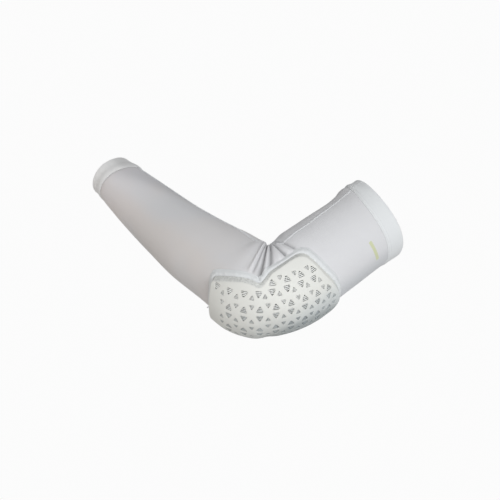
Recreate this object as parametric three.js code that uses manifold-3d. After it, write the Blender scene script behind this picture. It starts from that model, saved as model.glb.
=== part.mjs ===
// A padded compression sleeve for the elbow, filled out as it sits on a bent arm.
// The arm lies level: the upper arm runs along +X, the forearm along +Y, and +Z is up.
// The origin is the point in the elbow where the axes of the two straight stretches would cross.
// Places on the knit are given as "along", the distance along the arm's axis from the middle of the
// bend (the wrist is negative), and "round", the angle about the axis from the elbow's ridge.
import * as THREE from "three";
import { LoftGeometry } from "three/addons/geometries/LoftGeometry.js";
import { mergeVertices } from "three/addons/utils/BufferGeometryUtils.js";
import Module from "manifold-3d";

// Driving sizes, in millimetres
const BEND_RADIUS = 46;
const KNIT_START = -271.5;
const KNIT_END = 163;
const KNIT_WALL = 1.2;
const BAND_WALL = 2.4;
const CLEARANCE = 0.3;
const SEAT = 0.8;
const PAD_HEIGHT = 9.5;
const PAD_SIDE_HEIGHT = 3;
const PAD_BEVEL = 7;
const PAD_SIDE_ROW = 2.4;
const RIM_WIDTH = 4.6;
const RIM_HEIGHT = 4.2;
const SEAM_WIDTH = 4;
const SEAM_HEIGHT = 0.9;
const VENT_PITCH = 18.6;
const VENT_ROW_PITCH = 14.25;
const VENT_LARGE = 9;
const VENT_SMALL = 6.2;
const VENT_START = { along: -7.5, across: 9.1 };
const VENT_BOW = { rise: 5.5, from: -24, length: 62 };
const VENT_MARGIN = 9;
const VENT_ROWS = 6;
const VENT_COLUMNS = 12;

// The pad's sheet is rolled over the elbow: its radius across the arm, and its reach from the arm's axis
const PAD_ROLL = 60;
const PAD_REACH = 65;

// How finely each piece is divided: the steps round the arm, round the pad's edge and across the pad,
// and the places of the sections along the knit and along the pad
const ROUND_STEPS = 26;
const RIM_STEPS = 56;
const PAD_TOP_STEPS = 9;
const PAD_UNDER_STEPS = 12;
const FOREARM_STEPS = { outer: 10, inner: 5 };
const UPPER_ARM_STEPS = { outer: 6, inner: 3 };
const FOREARM_LAST_ROW = -47;
const GATHER_ROWS = { from: -40, to: 41, steps: 25 };
const UPPER_ARM_FIRST_ROW = 49;
const PAD_ROWS = [
  { from: -61, to: -19, steps: 4 },
  { from: -12, to: 5, steps: 3 },
  { from: 14, to: 89, steps: 8 },
];
const BAND_OUTER_ROWS = [0, 0.3, 0.6, 0.75, 0.87, 1];

// The arm's girth, a row for each section: how far the knit stands from the axis on the elbow side
// (outer), on the crease side (inner), and above and below (half)
const GIRTH = [
  { along: -300, outer: 25.7, inner: 36.4, half: 26.6 },
  { along: -265, outer: 32.4, inner: 36.6, half: 31.4 },
  { along: -230, outer: 39.3, inner: 35.8, half: 35.5 },
  { along: -160, outer: 50.5, inner: 36, half: 40.2 },
  { along: -100, outer: 56.9, inner: 41.6, half: 45.2 },
  { along: -60, outer: 56.2, inner: 50, half: 48.3 },
  { along: -38, outer: 57.2, inner: 47.8, half: 50.2 },
  { along: -20, outer: 63.4, inner: 43.2, half: 53.4 },
  { along: -5, outer: 66, inner: 43.4, half: 52.4 },
  { along: 10, outer: 59.8, inner: 44, half: 50.2 },
  { along: 25, outer: 56.5, inner: 44.5, half: 50.3 },
  { along: 42, outer: 55.2, inner: 47.4, half: 52 },
  { along: 60, outer: 58.1, inner: 52.2, half: 53.4 },
  { along: 100, outer: 58, inner: 52.5, half: 52.2 },
  { along: 140, outer: 57.2, inner: 51.4, half: 51.4 },
  { along: 180, outer: 58.5, inner: 56, half: 50.3 },
];

// The gathers that fan out from the crease, a row for each ridge (rise above 0) or valley: its bearing
// about the crease, in degrees, beside the crease and beside the pad, its spread in degrees and its rise
const GATHERS = [
  { crease: -31, rim: -34, spread: 6, rise: 0.9 },
  { crease: -22, rim: -27, spread: 4.5, rise: -1.1 },
  { crease: -11, rim: -18, spread: 4.5, rise: 2.2 },
  { crease: 0.5, rim: -5.5, spread: 3.6, rise: -3 },
  { crease: 5.5, rim: -1, spread: 3.4, rise: 1.8 },
  { crease: 11, rim: 4, spread: 3.2, rise: -2.2 },
  { crease: 17, rim: 14, spread: 4.6, rise: 1.9 },
  { crease: 24, rim: 29, spread: 3.6, rise: -2.1 },
  { crease: 33, rim: 38, spread: 4.6, rise: 1.5 },
  { crease: 42.5, rim: 47, spread: 4, rise: -1 },
];
const GATHER_CREASE_END = 168;
const GATHER_CREASE_FADE = 34;
const GATHER_RIM_START = RIM_WIDTH + 3;
const GATHER_RIM_FADE = 8;
const GATHER_CREASE_BEARING = 120;
const GATHER_RIM_BEARING = 60;

// How far the flesh stands out on each side of the crease: the angle from the elbow's ridge where it is
// fullest and its spread, in degrees, and along the arm the pinch at the crease, the reach and the fade
const CREASE_FULLNESS = {
  forearm: 5,
  upperArm: 3,
  middle: 140,
  spread: 32,
  pinch: 9,
  reach: 20,
  fade: 28,
};

// Half of the pad's flat outline: its half width at places along the elbow's ridge, with the notch
// between the forearm's lobe and the upper arm's lobe
const PAD_OUTLINE = [
  { along: -78, width: 28 },
  { along: -77, width: 35 },
  { along: -73.5, width: 41 },
  { along: -64, width: 46 },
  { along: -48, width: 52 },
  { along: -34, width: 56 },
  { along: -23, width: 57.6 },
  { along: -15.5, width: 56.6 },
  { along: -10, width: 55 },
  { along: -6.5, width: 56 },
  { along: -2, width: 61 },
  { along: 4.5, width: 69.5 },
  { along: 16, width: 76 },
  { along: 29, width: 80.8 },
  { along: 39, width: 81.8 },
  { along: 47.5, width: 79.3 },
  { along: 55.5, width: 74.3 },
  { along: 69.5, width: 60 },
  { along: 85, width: 42 },
  { along: 97, width: 27 },
  { along: 104, width: 15 },
  { along: 107, width: 6 },
];
const PAD_START = PAD_OUTLINE[0].along;
const PAD_END = PAD_OUTLINE[PAD_OUTLINE.length - 1].along;

// The long seam on the inside of the arm: its angle from the elbow's ridge, in degrees
const SEAM_LINE = [
  { along: -280, round: 136 },
  { along: -160, round: 138 },
  { along: -100, round: 134 },
  { along: -60, round: 122 },
  { along: -30, round: 119 },
  { along: 0, round: 122 },
  { along: 20, round: 118 },
  { along: 40, round: 112 },
  { along: 70, round: 110.5 },
  { along: 112, round: 114 },
  { along: 165, round: 120 },
];

// The two hem bands. Each has a free edge and a sewn edge along the arm, which slant so that they lie
// further along by "slant" at the elbow's ridge and less far on the inside of the arm, and which bow so
// that they lie further along by "bow" at both of these than above and below. The profile runs from the
// free edge (0) to the sewn edge (1): how far the band stands off the knit, and how much more it flares
// on the inside of the arm, where the seam allowance is thick
const WRIST_BAND = {
  free: { along: -298.5, slant: -0.7, bow: 0 },
  sewn: { along: KNIT_START, slant: -9, bow: 0 },
  profile: [
    { across: 0, lift: 0.6, flare: 0.5 },
    { across: 0.55, lift: 0.4, flare: 0.9 },
    { across: 0.86, lift: 1.1, flare: 1.2 },
    { across: 1, lift: 0.3, flare: 0.2 },
  ],
};
const UPPER_BAND = {
  free: { along: 189, slant: -14, bow: 4 },
  sewn: { along: KNIT_END, slant: -14, bow: 4 },
  profile: [
    { across: 0, lift: 1.2, flare: 0 },
    { across: 0.4, lift: 0.8, flare: 0.5 },
    { across: 0.85, lift: 0.7, flare: 2 },
    { across: 1, lift: 0.3, flare: 1.4 },
  ],
};
const SLANT_FADE = 40;
const BAND_FLARE_ROUND = 150;
const BAND_FLARE_SPREAD = 34;

const { clamp, degToRad, lerp, radToDeg, smoothstep } = THREE.MathUtils;
const UP = new THREE.Vector3(0, 0, 1);
const BEND_HALF_ANGLE = Math.PI / 4;
const WELD = 1e-4;
const wasm = await Module();
wasm.setup();

// A smooth curve through one column of a table, which never overshoots its rows
function smoothColumn(rows, place, column, at) {
  const last = rows.length - 1;
  const step = (i) => rows[i + 1][place] - rows[i][place];
  const slope = (i) => (rows[i + 1][column] - rows[i][column]) / step(i);
  const slopeAt = (i) => {
    if (i === 0 || i === last) return 0;
    const before = slope(i - 1);
    const after = slope(i);
    return before * after > 0 ? (2 * before * after) / (before + after) : 0;
  };
  let i = 0;
  while (i < last - 1 && at > rows[i + 1][place]) i += 1;
  const t = clamp((at - rows[i][place]) / step(i), 0, 1);
  const rest = 1 - t;
  return (
    rows[i][column] * (1 + 2 * t) * rest * rest +
    rows[i + 1][column] * (3 - 2 * t) * t * t +
    step(i) * t * rest * (slopeAt(i) * rest - slopeAt(i + 1) * t)
  );
}

// The centre of the arm at a distance along its axis, and the level direction from the crease outwards
function armAxis(along) {
  const turn = clamp(along / BEND_RADIUS, -BEND_HALF_ANGLE, BEND_HALF_ANGLE);
  const straight = along - turn * BEND_RADIUS;
  const bearing = turn + BEND_HALF_ANGLE;
  const outward = new THREE.Vector3(-Math.cos(bearing), -Math.sin(bearing), 0);
  const centre = new THREE.Vector3(BEND_RADIUS, BEND_RADIUS, 0).addScaledVector(outward, BEND_RADIUS);
  centre.x += Math.max(straight, 0);
  centre.y += Math.max(-straight, 0);
  return { centre, outward };
}

// A place on the pad's flat sheet, from a place on the knit, and back again
function sheetFromKnit(along, round) {
  const reach = BEND_RADIUS + PAD_REACH * Math.cos(round);
  const turn = clamp(along / BEND_RADIUS, -BEND_HALF_ANGLE, BEND_HALF_ANGLE);
  return { along: turn * reach + along - turn * BEND_RADIUS, across: round * PAD_ROLL };
}

function knitFromSheet(along, across) {
  const round = across / PAD_ROLL;
  const reach = BEND_RADIUS + PAD_REACH * Math.cos(round);
  const turn = clamp(along / reach, -BEND_HALF_ANGLE, BEND_HALF_ANGLE);
  return { along: turn * BEND_RADIUS + along - turn * reach, round };
}

const padHalfWidth = (along) => smoothColumn(PAD_OUTLINE, "along", "width", along);

// How far the gathers lift the knit: nothing in the fold of the crease, under the pad or under its rim
function gatherRise(along, round) {
  const angle = Math.abs(round);
  const bearing = radToDeg(along / BEND_RADIUS);
  const sheet = sheetFromKnit(along, angle);
  const beyondRim = sheet.across - padHalfWidth(sheet.along) - GATHER_RIM_START;
  const nearRim = angle > Math.PI / 2 ? 1 : smoothstep(beyondRim, 0, GATHER_RIM_FADE);
  const degrees = radToDeg(angle);
  const nearCrease = 1 - smoothstep(degrees, GATHER_CREASE_END - GATHER_CREASE_FADE, GATHER_CREASE_END);
  const towardsRim = (GATHER_CREASE_BEARING - degrees) / (GATHER_CREASE_BEARING - GATHER_RIM_BEARING);
  let rise = 0;
  for (const gather of GATHERS) {
    const away = (bearing - lerp(gather.crease, gather.rim, towardsRim)) / gather.spread;
    rise += gather.rise * Math.exp(-away * away);
  }
  return rise * nearRim * nearCrease;
}

// How far the arm's flesh stands out beside the crease, where the bend presses it together
function creaseFullness(along, round) {
  const { forearm, upperArm, middle, spread, pinch, reach, fade } = CREASE_FULLNESS;
  const bell = (away, width) => Math.exp(-((away / width) ** 2));
  const beside = 1 - bell(along, pinch);
  const near = bell(Math.max(Math.abs(along) - reach, 0), fade);
  const inside = bell(radToDeg(Math.abs(round)) - middle, spread);
  return (along < 0 ? forearm : upperArm) * beside * near * inside;
}

// A point of the knit's outer face, lifted off it by a height
function knitPoint(along, round, lift) {
  const { centre, outward } = armAxis(along);
  const half = smoothColumn(GIRTH, "along", "half", along);
  const side = smoothColumn(GIRTH, "along", Math.cos(round) > 0 ? "outer" : "inner", along);
  const height = gatherRise(along, round) + creaseFullness(along, round) + lift;
  const normal = new THREE.Vector2(Math.cos(round) / side, Math.sin(round) / half).normalize();
  return centre
    .addScaledVector(outward, side * Math.cos(round) + normal.x * height)
    .addScaledVector(UP, half * Math.sin(round) + normal.y * height);
}

function padPoint(along, across, lift) {
  const place = knitFromSheet(along, across);
  return knitPoint(place.along, place.round, lift);
}

// A ring of points round the arm, in the order that faces a loft towards the wide end outwards
function ringRoundArm(alongAt, liftAt) {
  return Array.from({ length: ROUND_STEPS }, (_, i) => {
    const round = Math.PI - (i / ROUND_STEPS) * 2 * Math.PI;
    return knitPoint(alongAt(round), round, liftAt(round));
  });
}

// How far a band's edge lies from its middle along the arm, at an angle round it
function edgeShift({ slant, bow }, round) {
  return slant * Math.cos(round) + bow * Math.cos(2 * round);
}

// A place along the knit, shifted near the bands so that the knit's ends follow their edges
function slanted(along, round) {
  const nearWrist = 1 - smoothstep(along, KNIT_START, KNIT_START + SLANT_FADE);
  const nearUpper = smoothstep(along, KNIT_END - SLANT_FADE, KNIT_END);
  return along + nearWrist * edgeShift(WRIST_BAND.sewn, round) + nearUpper * edgeShift(UPPER_BAND.sewn, round);
}

// The places of the sections along one face of the knit, close together through the gathers
function knitRows(face, endGap) {
  return [
    ...evenSteps(KNIT_START + endGap, FOREARM_LAST_ROW, FOREARM_STEPS[face]),
    ...evenSteps(GATHER_ROWS.from, GATHER_ROWS.to, GATHER_ROWS.steps),
    ...evenSteps(UPPER_ARM_FIRST_ROW, KNIT_END - endGap, UPPER_ARM_STEPS[face]),
  ];
}

function evenSteps(from, to, count) {
  return Array.from({ length: count + 1 }, (_, i) => lerp(from, to, i / count));
}

// A closed geometry with shared vertices, from a loft whose seams only touch
function closedLoft(sections, caps) {
  const loft = new LoftGeometry(sections, { capStart: caps, capEnd: caps });
  const bare = new THREE.BufferGeometry();
  bare.setAttribute("position", loft.getAttribute("position"));
  bare.setIndex(loft.index);
  return mergeVertices(bare, WELD);
}

function solidFrom(geometry) {
  const vertProperties = geometry.getAttribute("position").array;
  const triVerts = new Uint32Array(geometry.index.array);
  return new wasm.Manifold(new wasm.Mesh({ numProp: 3, vertProperties, triVerts }));
}

function geometryFrom(solid) {
  const { vertProperties, triVerts } = solid.getMesh();
  const geometry = new THREE.BufferGeometry();
  geometry.setAttribute("position", new THREE.BufferAttribute(vertProperties, 3));
  geometry.setIndex(new THREE.BufferAttribute(triVerts, 1));
  return geometry;
}

// The knitted tube between the two bands
function sleeveGeometry() {
  const ringAt = (along, lift) => ringRoundArm((round) => slanted(along, round), () => lift);
  const outer = knitRows("outer", CLEARANCE).map((along) => ringAt(along, 0));
  const inner = knitRows("inner", CLEARANCE).map((along) => ringAt(along, -KNIT_WALL)).reverse();
  return closedLoft([...outer, ...inner, outer[0]], false);
}

// A hem band: a wall whose outer face follows its profile from the free edge to the sewn edge
function bandGeometry({ free, sewn, profile }) {
  const flareAt = (round) => {
    const away = (radToDeg(Math.abs(round)) - BAND_FLARE_ROUND) / BAND_FLARE_SPREAD;
    return Math.exp(-away * away);
  };
  const ringAt = (across, drop) => {
    const alongAt = (round) =>
      lerp(free.along + edgeShift(free, round), sewn.along + edgeShift(sewn, round), across);
    const lift = smoothColumn(profile, "across", "lift", across);
    const flare = smoothColumn(profile, "across", "flare", across);
    return ringRoundArm(alongAt, (round) => lift + flare * flareAt(round) - drop);
  };
  const outer = BAND_OUTER_ROWS.map((across) => ringAt(across, 0));
  const inner = [1, 0].map((across) => ringAt(across, BAND_WALL));
  const loop = [...outer, ...inner, outer[0]];
  return closedLoft(free.along < sewn.along ? loop : loop.reverse(), false);
}

// The height of the pad's face above the knit: a low side, a bevel, then the full height
function padFaceHeight(along, across) {
  const fromSide = padHalfWidth(along) - Math.abs(across);
  const fromEnd = Math.min(along - PAD_START, PAD_END - along);
  const up = clamp(Math.min(fromSide, fromEnd) / PAD_BEVEL, 0, 1);
  return lerp(PAD_SIDE_HEIGHT, PAD_HEIGHT, Math.sin((up * Math.PI) / 2));
}

function padBodyGeometry() {
  const rows = [
    ...[0, PAD_SIDE_ROW, PAD_BEVEL].map((inset) => PAD_START + inset),
    ...PAD_ROWS.flatMap(({ from, to, steps }) => evenSteps(from, to, steps)),
    ...[PAD_BEVEL, PAD_SIDE_ROW, 0].map((inset) => PAD_END - inset),
  ];
  const sections = rows.map((along) => {
    const width = padHalfWidth(along);
    const bevel = Math.min(PAD_BEVEL, width / 2);
    const low = Math.min(PAD_SIDE_ROW, width / 4);
    const under = evenSteps(-width, width, PAD_UNDER_STEPS).map((across) => padPoint(along, across, SEAT));
    const face = [width, width - low, ...evenSteps(width - bevel, bevel - width, PAD_TOP_STEPS)];
    face.push(low - width, -width);
    return [...under, ...face.map((across) => padPoint(along, across, padFaceHeight(along, across)))];
  });
  return closedLoft(sections, true);
}

// The corners of a vent on the pad's flat sheet
function ventCorners({ along, across, side, pointsUp }) {
  const radius = side / Math.sqrt(3);
  const start = pointsUp ? Math.PI / 2 : -Math.PI / 2;
  return [0, 1, 2].map((i) => {
    const angle = start + (i * 2 * Math.PI) / 3;
    return { along: along + radius * Math.cos(angle), across: across + radius * Math.sin(angle) };
  });
}

function clearOfEdges({ along, across }) {
  const inEnds = along > PAD_START + VENT_MARGIN && along < PAD_END - VENT_MARGIN;
  const width = Math.min(padHalfWidth(along - VENT_MARGIN), padHalfWidth(along + VENT_MARGIN));
  return inEnds && Math.abs(across) < width - VENT_MARGIN;
}

// The vents lie in rows that bow with the pad: in each row large ones and small ones take turns
function ventPlaces() {
  const places = [];
  for (let row = -VENT_ROWS; row <= VENT_ROWS; row += 1) {
    for (let half = -VENT_COLUMNS; half <= VENT_COLUMNS; half += 1) {
      const large = half % 2 === 0;
      const pointsUp = large === (row % 2 !== 0);
      const along = VENT_START.along + (half * VENT_PITCH) / 2;
      const bowed = VENT_BOW.rise * Math.sin(((along - VENT_BOW.from) / VENT_BOW.length) * (Math.PI / 2));
      const level = row + (pointsUp ? -1 / 6 : 1 / 6);
      const across = VENT_START.across + level * VENT_ROW_PITCH + bowed;
      const place = { along, across, side: large ? VENT_LARGE : VENT_SMALL, pointsUp };
      if (ventCorners(place).every(clearOfEdges)) places.push(place);
    }
  }
  return places;
}

// A three-sided plug that stands through the pad, square to its face
function ventPlug(place) {
  const { along, across } = place;
  const corners = ventCorners(place).map((c) => new THREE.Vector2(c.along - along, c.across - across));
  const depth = 2 * PAD_HEIGHT;
  const plug = new THREE.ExtrudeGeometry(new THREE.Shape(corners), { depth, bevelEnabled: false });
  const reach = 2;
  const right = padPoint(along + reach, across, 0).sub(padPoint(along - reach, across, 0)).normalize();
  const above = padPoint(along, across + reach, 0).sub(padPoint(along, across - reach, 0)).normalize();
  const out = new THREE.Vector3().crossVectors(right, above).normalize();
  above.crossVectors(out, right);
  const seat = padPoint(along, across, SEAT).addScaledVector(out, -depth / 4);
  plug.applyMatrix4(new THREE.Matrix4().makeBasis(right, above, out).setPosition(seat));
  plug.deleteAttribute("normal");
  plug.deleteAttribute("uv");
  return mergeVertices(plug, WELD);
}

function padGeometry() {
  const plugs = ventPlaces().map((place) => solidFrom(ventPlug(place)));
  return geometryFrom(plugs.reduce((pad, plug) => pad.subtract(plug), solidFrom(padBodyGeometry())));
}

// The pad's outline as a closed path on its flat sheet, and the raised rim that follows it
function rimGeometry() {
  const side = PAD_OUTLINE.map(({ along, width }) => new THREE.Vector3(along, width, 0));
  const otherSide = side.map(({ x, y }) => new THREE.Vector3(x, -y, 0));
  const path = new THREE.CatmullRomCurve3([...otherSide, ...side.reverse()], true, "centripetal");
  const points = path.getSpacedPoints(RIM_STEPS);
  const profile = [
    { out: 0.5, height: 1 },
    { out: 0.88, height: 0.72 },
    { out: 1, height: 0 },
    { out: 0, height: 0 },
    { out: 0.12, height: 0.72 },
  ];
  const sections = points.map((point, i) => {
    const before = points[(i + RIM_STEPS - 1) % RIM_STEPS];
    const after = points[(i + 1) % RIM_STEPS];
    const ahead = after.clone().sub(before).normalize();
    return profile.map(({ out, height }) => {
      const shift = 3 * CLEARANCE + out * RIM_WIDTH;
      const lift = lerp(SEAT, RIM_HEIGHT, height);
      return padPoint(point.x + ahead.y * shift, point.y - ahead.x * shift, lift);
    });
  });
  return closedLoft(sections, false);
}

// The raised flat seam, a strip that follows its line over the gathers
function seamGeometry() {
  const sections = knitRows("outer", 2 * CLEARANCE).map((along) => {
    const round = degToRad(smoothColumn(SEAM_LINE, "along", "round", along));
    const halfAngle = SEAM_WIDTH / 2 / smoothColumn(GIRTH, "along", "half", along);
    const corner = (angle, lift) => knitPoint(slanted(along, angle), angle, lift);
    return [
      corner(round + halfAngle, SEAT),
      corner(round + halfAngle, SEAT + SEAM_HEIGHT),
      corner(round - halfAngle, SEAT + SEAM_HEIGHT),
      corner(round - halfAngle, SEAT),
    ];
  });
  return closedLoft(sections, true);
}

function mesh(name, geometry, color, roughness) {
  const made = new THREE.Mesh(geometry, new THREE.MeshStandardMaterial({ color, roughness, metalness: 0 }));
  made.name = name;
  return made;
}

const group = new THREE.Group();
group.add(
  mesh("sleeve", sleeveGeometry(), 0xdcdcdd, 0.85),
  mesh("wrist_band", bandGeometry(WRIST_BAND), 0xe2e2e2, 0.85),
  mesh("upper_band", bandGeometry(UPPER_BAND), 0xeaeded, 0.85),
  mesh("pad_rim", rimGeometry(), 0xe6eaea, 0.8),
  mesh("elbow_pad", padGeometry(), 0xf0f0ea, 0.6),
  mesh("inner_seam", seamGeometry(), 0xe6e8e8, 0.85),
);

export default group;
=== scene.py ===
# The looks of a padded compression sleeve for the elbow, bent and filled out as it is in use.
# Its wide half runs along +X and its narrow half along +Y, +Z is up, and their axes cross at the origin.
# Shapes are worked out in millimetres and become metres where a mesh is made.
# A place on the knit is "along", the distance along the sleeve's axis from the middle of the bend
# (the wrist is negative), and "angle", the turn about that axis from the elbow's ridge.
import math

import bpy
import numpy as np
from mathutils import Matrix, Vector
from mathutils.geometry import delaunay_2d_cdt


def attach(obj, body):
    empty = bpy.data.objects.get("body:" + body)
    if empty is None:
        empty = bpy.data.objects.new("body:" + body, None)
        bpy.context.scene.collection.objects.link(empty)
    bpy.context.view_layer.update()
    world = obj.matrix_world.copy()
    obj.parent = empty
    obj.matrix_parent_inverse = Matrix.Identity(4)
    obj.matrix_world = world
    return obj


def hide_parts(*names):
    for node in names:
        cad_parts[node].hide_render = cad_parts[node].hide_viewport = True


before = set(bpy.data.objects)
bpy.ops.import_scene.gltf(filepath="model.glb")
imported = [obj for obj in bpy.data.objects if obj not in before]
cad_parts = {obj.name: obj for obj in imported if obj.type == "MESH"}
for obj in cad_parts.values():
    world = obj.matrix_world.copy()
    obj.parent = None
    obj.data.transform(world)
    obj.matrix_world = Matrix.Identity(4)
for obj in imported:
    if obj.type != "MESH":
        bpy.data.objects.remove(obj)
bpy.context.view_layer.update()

MM = 0.001
UP = np.array([0.0, 0.0, 1.0])


def table(columns, rows):
    """Rows of numbers with named columns."""
    return np.array(rows, dtype=[(name, float) for name in columns.split()])


# Sizes of the knit, the bands, the seam and the pad in millimetres, and half of the bend in radians, as in
# the part
BEND_RADIUS = 46.0
BEND_HALF_ANGLE = math.pi / 4
KNIT_START = -271.5
KNIT_END = 163.0
KNIT_WALL = 1.2
BAND_WALL = 2.4
SEAM_WIDTH = 3.2
PAD_SEAT = 0.8
PAD_HEIGHT = 9.5
PAD_SIDE_HEIGHT = 3.0
PAD_ROLL = 60.0
PAD_REACH = 65.0
RIM_WIDTH = 4.6
VENT_PITCH = 18.6
VENT_ROW_PITCH = 14.25
VENT_LARGE = 10.2
VENT_SMALL = 7.1
VENT_START = (-7.5, 9.1)
VENT_BOW_RISE = 5.5
VENT_BOW_FROM = -24.0
VENT_BOW_LENGTH = 62.0

# How far the knit stands from the sleeve's axis: on the elbow side, on the crease side, above and below
GIRTH = table("along outer inner half", [
    (-300, 25.7, 36.4, 26.6),
    (-265, 32.4, 36.6, 31.4),
    (-230, 39.3, 35.8, 35.5),
    (-160, 50.5, 36, 40.2),
    (-100, 56.9, 41.6, 45.2),
    (-60, 56.2, 50, 48.3),
    (-38, 57.2, 47.8, 50.2),
    (-20, 63.4, 43.2, 53.4),
    (-5, 66, 43.4, 52.4),
    (10, 59.8, 44, 50.2),
    (25, 56.5, 44.5, 50.3),
    (42, 55.2, 47.4, 52),
    (60, 58.1, 52.2, 53.4),
    (100, 58, 52.5, 52.2),
    (140, 57.2, 51.4, 51.4),
    (180, 58.5, 56, 50.3),
])

# The gathers that fan out from the crease: bearings about it in degrees, beside the crease and beside
# the pad, the spread in degrees and the rise, above 0 for a ridge and below 0 for a valley
GATHERS = table("crease rim spread rise", [
    (-17, -24, 5, -0.4),
    (-8.5, -17.5, 2.3, 3.0),
    (-5.8, -14.2, 1.5, -2.6),
    (-2.7, -10.8, 2.4, 1.2),
    (-0.8, -6.3, 2.5, -3.8),
    (2.6, -3.5, 2.5, 2.2),
    (8.5, 2.5, 2.7, -2.8),
    (13.5, 20, 5.5, 1.6),
    (19, 33, 2.4, -3.0),
    (30, 40, 4.6, 1.6),
    (42.5, 48, 2.8, -2.0),
])
# Where the gathers fade out towards the crease, in degrees, and beside the rim, in millimetres, the two
# angles that their bearings are given at, the angle past which the pad is out of reach, and their depth
# and shapes
GATHER_CREASE_END = 150.0
GATHER_CREASE_FADE = 40.0
GATHER_RIM_START = RIM_WIDTH + 3
GATHER_RIM_FADE = 5.0
GATHER_CREASE_BEARING = 120.0
GATHER_RIM_BEARING = 60.0
GATHER_PAD_REACH = 90.0
GATHER_DEPTH = 1.15
RIDGE_SHAPE = 1.8
VALLEY_SHAPE = 1.15

# How much fuller the knit stands beside the crease: on the narrow half and on the wide half, the angle where
# it is fullest and its spread in degrees, and along the sleeve the pinch with the share lost there, the
# reach and the fade
FULLNESS_NARROW_HALF = 5.0
FULLNESS_WIDE_HALF = 3.0
FULLNESS_ANGLE = 140.0
FULLNESS_SPREAD = 32.0
FULLNESS_PINCH = 9.0
FULLNESS_LOST = 0.6
FULLNESS_REACH = 20.0
FULLNESS_FADE = 28.0

# Half of the pad's flat outline, with the notch between its two lobes
PAD_OUTLINE = table("along width", [
    (-78, 28),
    (-77, 35),
    (-73.5, 41),
    (-64, 46),
    (-48, 52),
    (-34, 56),
    (-23, 57.6),
    (-15.5, 56.6),
    (-10, 55),
    (-6.5, 56),
    (-2, 61),
    (4.5, 69.5),
    (16, 76),
    (29, 80.8),
    (39, 81.8),
    (47.5, 79.3),
    (55.5, 74.3),
    (69.5, 60),
    (85, 42),
    (97, 27),
    (104, 15),
    (107, 6),
])

# The long seam on the crease side, in degrees from the elbow's ridge
SEAM_LINE = table("along angle", [
    (-280, 136),
    (-160, 138),
    (-100, 134),
    (-60, 122),
    (-30, 119),
    (0, 122),
    (20, 118),
    (40, 112),
    (70, 110.5),
    (112, 114),
    (165, 120),
])

# The hem bands: where each edge lies along the sleeve, how much it slants and how much it bows, and the
# profile from the free edge (0) to the sewn edge (1), with the flare where the seam allowance is thick
WRIST_FREE = (-298.5, -0.7, 0.0)
WRIST_SEWN = (KNIT_START, -9.0, 0.0)
WRIST_PROFILE = table("along lift flare", [
    (0, 0.5, 0.5),
    (0.4, 0.3, 0.8),
    (0.56, 0.75, 1.0),
    (0.72, 1.0, 1.1),
    (0.88, 0.7, 0.8),
    (1, 0.1, 0.2),
])
UPPER_FREE = (189.0, -14.0, 4.0)
UPPER_SEWN = (KNIT_END + 2.8, -18.2, 5.4)
UPPER_PROFILE = table("along lift flare", [
    (0, 1.2, 0),
    (0.4, 0.8, 0.5),
    (0.8, 0.6, 1.8),
    (1, 0.05, 1.2),
])
# How far from the bands the knit takes up their slant, the angle where their flare is fullest and its spread
# in degrees, and the swelling of the knit below the upper band: its height, its place and its reach
SLANT_FADE = 40.0
FLARE_ANGLE = 150.0
FLARE_SPREAD = 34.0
HEM_BULGE = 2.2
HEM_BULGE_ALONG = 177.0
HEM_BULGE_REACH = 7.0


# Curves and surfaces of the sleeve


def smoothstep(value, low, high):
    t = np.clip((value - low) / (high - low), 0, 1)
    return t * t * (3 - 2 * t)


def lerp(start, end, share):
    return start + (end - start) * share


def bell(away, width):
    return np.exp(-((away / width) ** 2))


def smooth_column(rows, column, at):
    """A smooth curve through one column of a table, which never overshoots its rows."""
    place = rows["along"]
    value = rows[column]
    step = np.diff(place)
    slope = np.diff(value) / step
    before, after = slope[:-1], slope[1:]
    turning = before * after <= 0
    mean = 2 * before * after / np.where(turning, 1, before + after)
    tangent = np.concatenate([[0], np.where(turning, 0, mean), [0]])
    i = np.clip(np.searchsorted(place, at) - 1, 0, len(step) - 1)
    t = np.clip((at - place[i]) / step[i], 0, 1)
    rest = 1 - t
    return (
        value[i] * (1 + 2 * t) * rest**2
        + value[i + 1] * (3 - 2 * t) * t**2
        + step[i] * t * rest * (tangent[i] * rest - tangent[i + 1] * t)
    )


def sleeve_axis(along):
    """The sleeve's centre at a place along its axis, and the level direction from the crease outwards."""
    turn = np.clip(along / BEND_RADIUS, -BEND_HALF_ANGLE, BEND_HALF_ANGLE)
    straight = along - turn * BEND_RADIUS
    bearing = turn + BEND_HALF_ANGLE
    outward = np.stack([-np.cos(bearing), -np.sin(bearing), np.zeros_like(bearing)], -1)
    centre = BEND_RADIUS * (outward + np.array([1, 1, 0]))
    centre[..., 0] += np.maximum(straight, 0)
    centre[..., 1] += np.maximum(-straight, 0)
    return centre, outward


def sheet_from_knit(along, angle):
    """A place on the pad's flat sheet, from a place on the knit."""
    reach = BEND_RADIUS + PAD_REACH * np.cos(angle)
    turn = np.clip(along / BEND_RADIUS, -BEND_HALF_ANGLE, BEND_HALF_ANGLE)
    return turn * reach + along - turn * BEND_RADIUS, angle * PAD_ROLL


def knit_from_sheet(along, across):
    """A place on the knit, from a place on the pad's flat sheet."""
    angle = across / PAD_ROLL
    reach = BEND_RADIUS + PAD_REACH * np.cos(angle)
    turn = np.clip(along / reach, -BEND_HALF_ANGLE, BEND_HALF_ANGLE)
    return turn * BEND_RADIUS + along - turn * reach, angle


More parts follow.
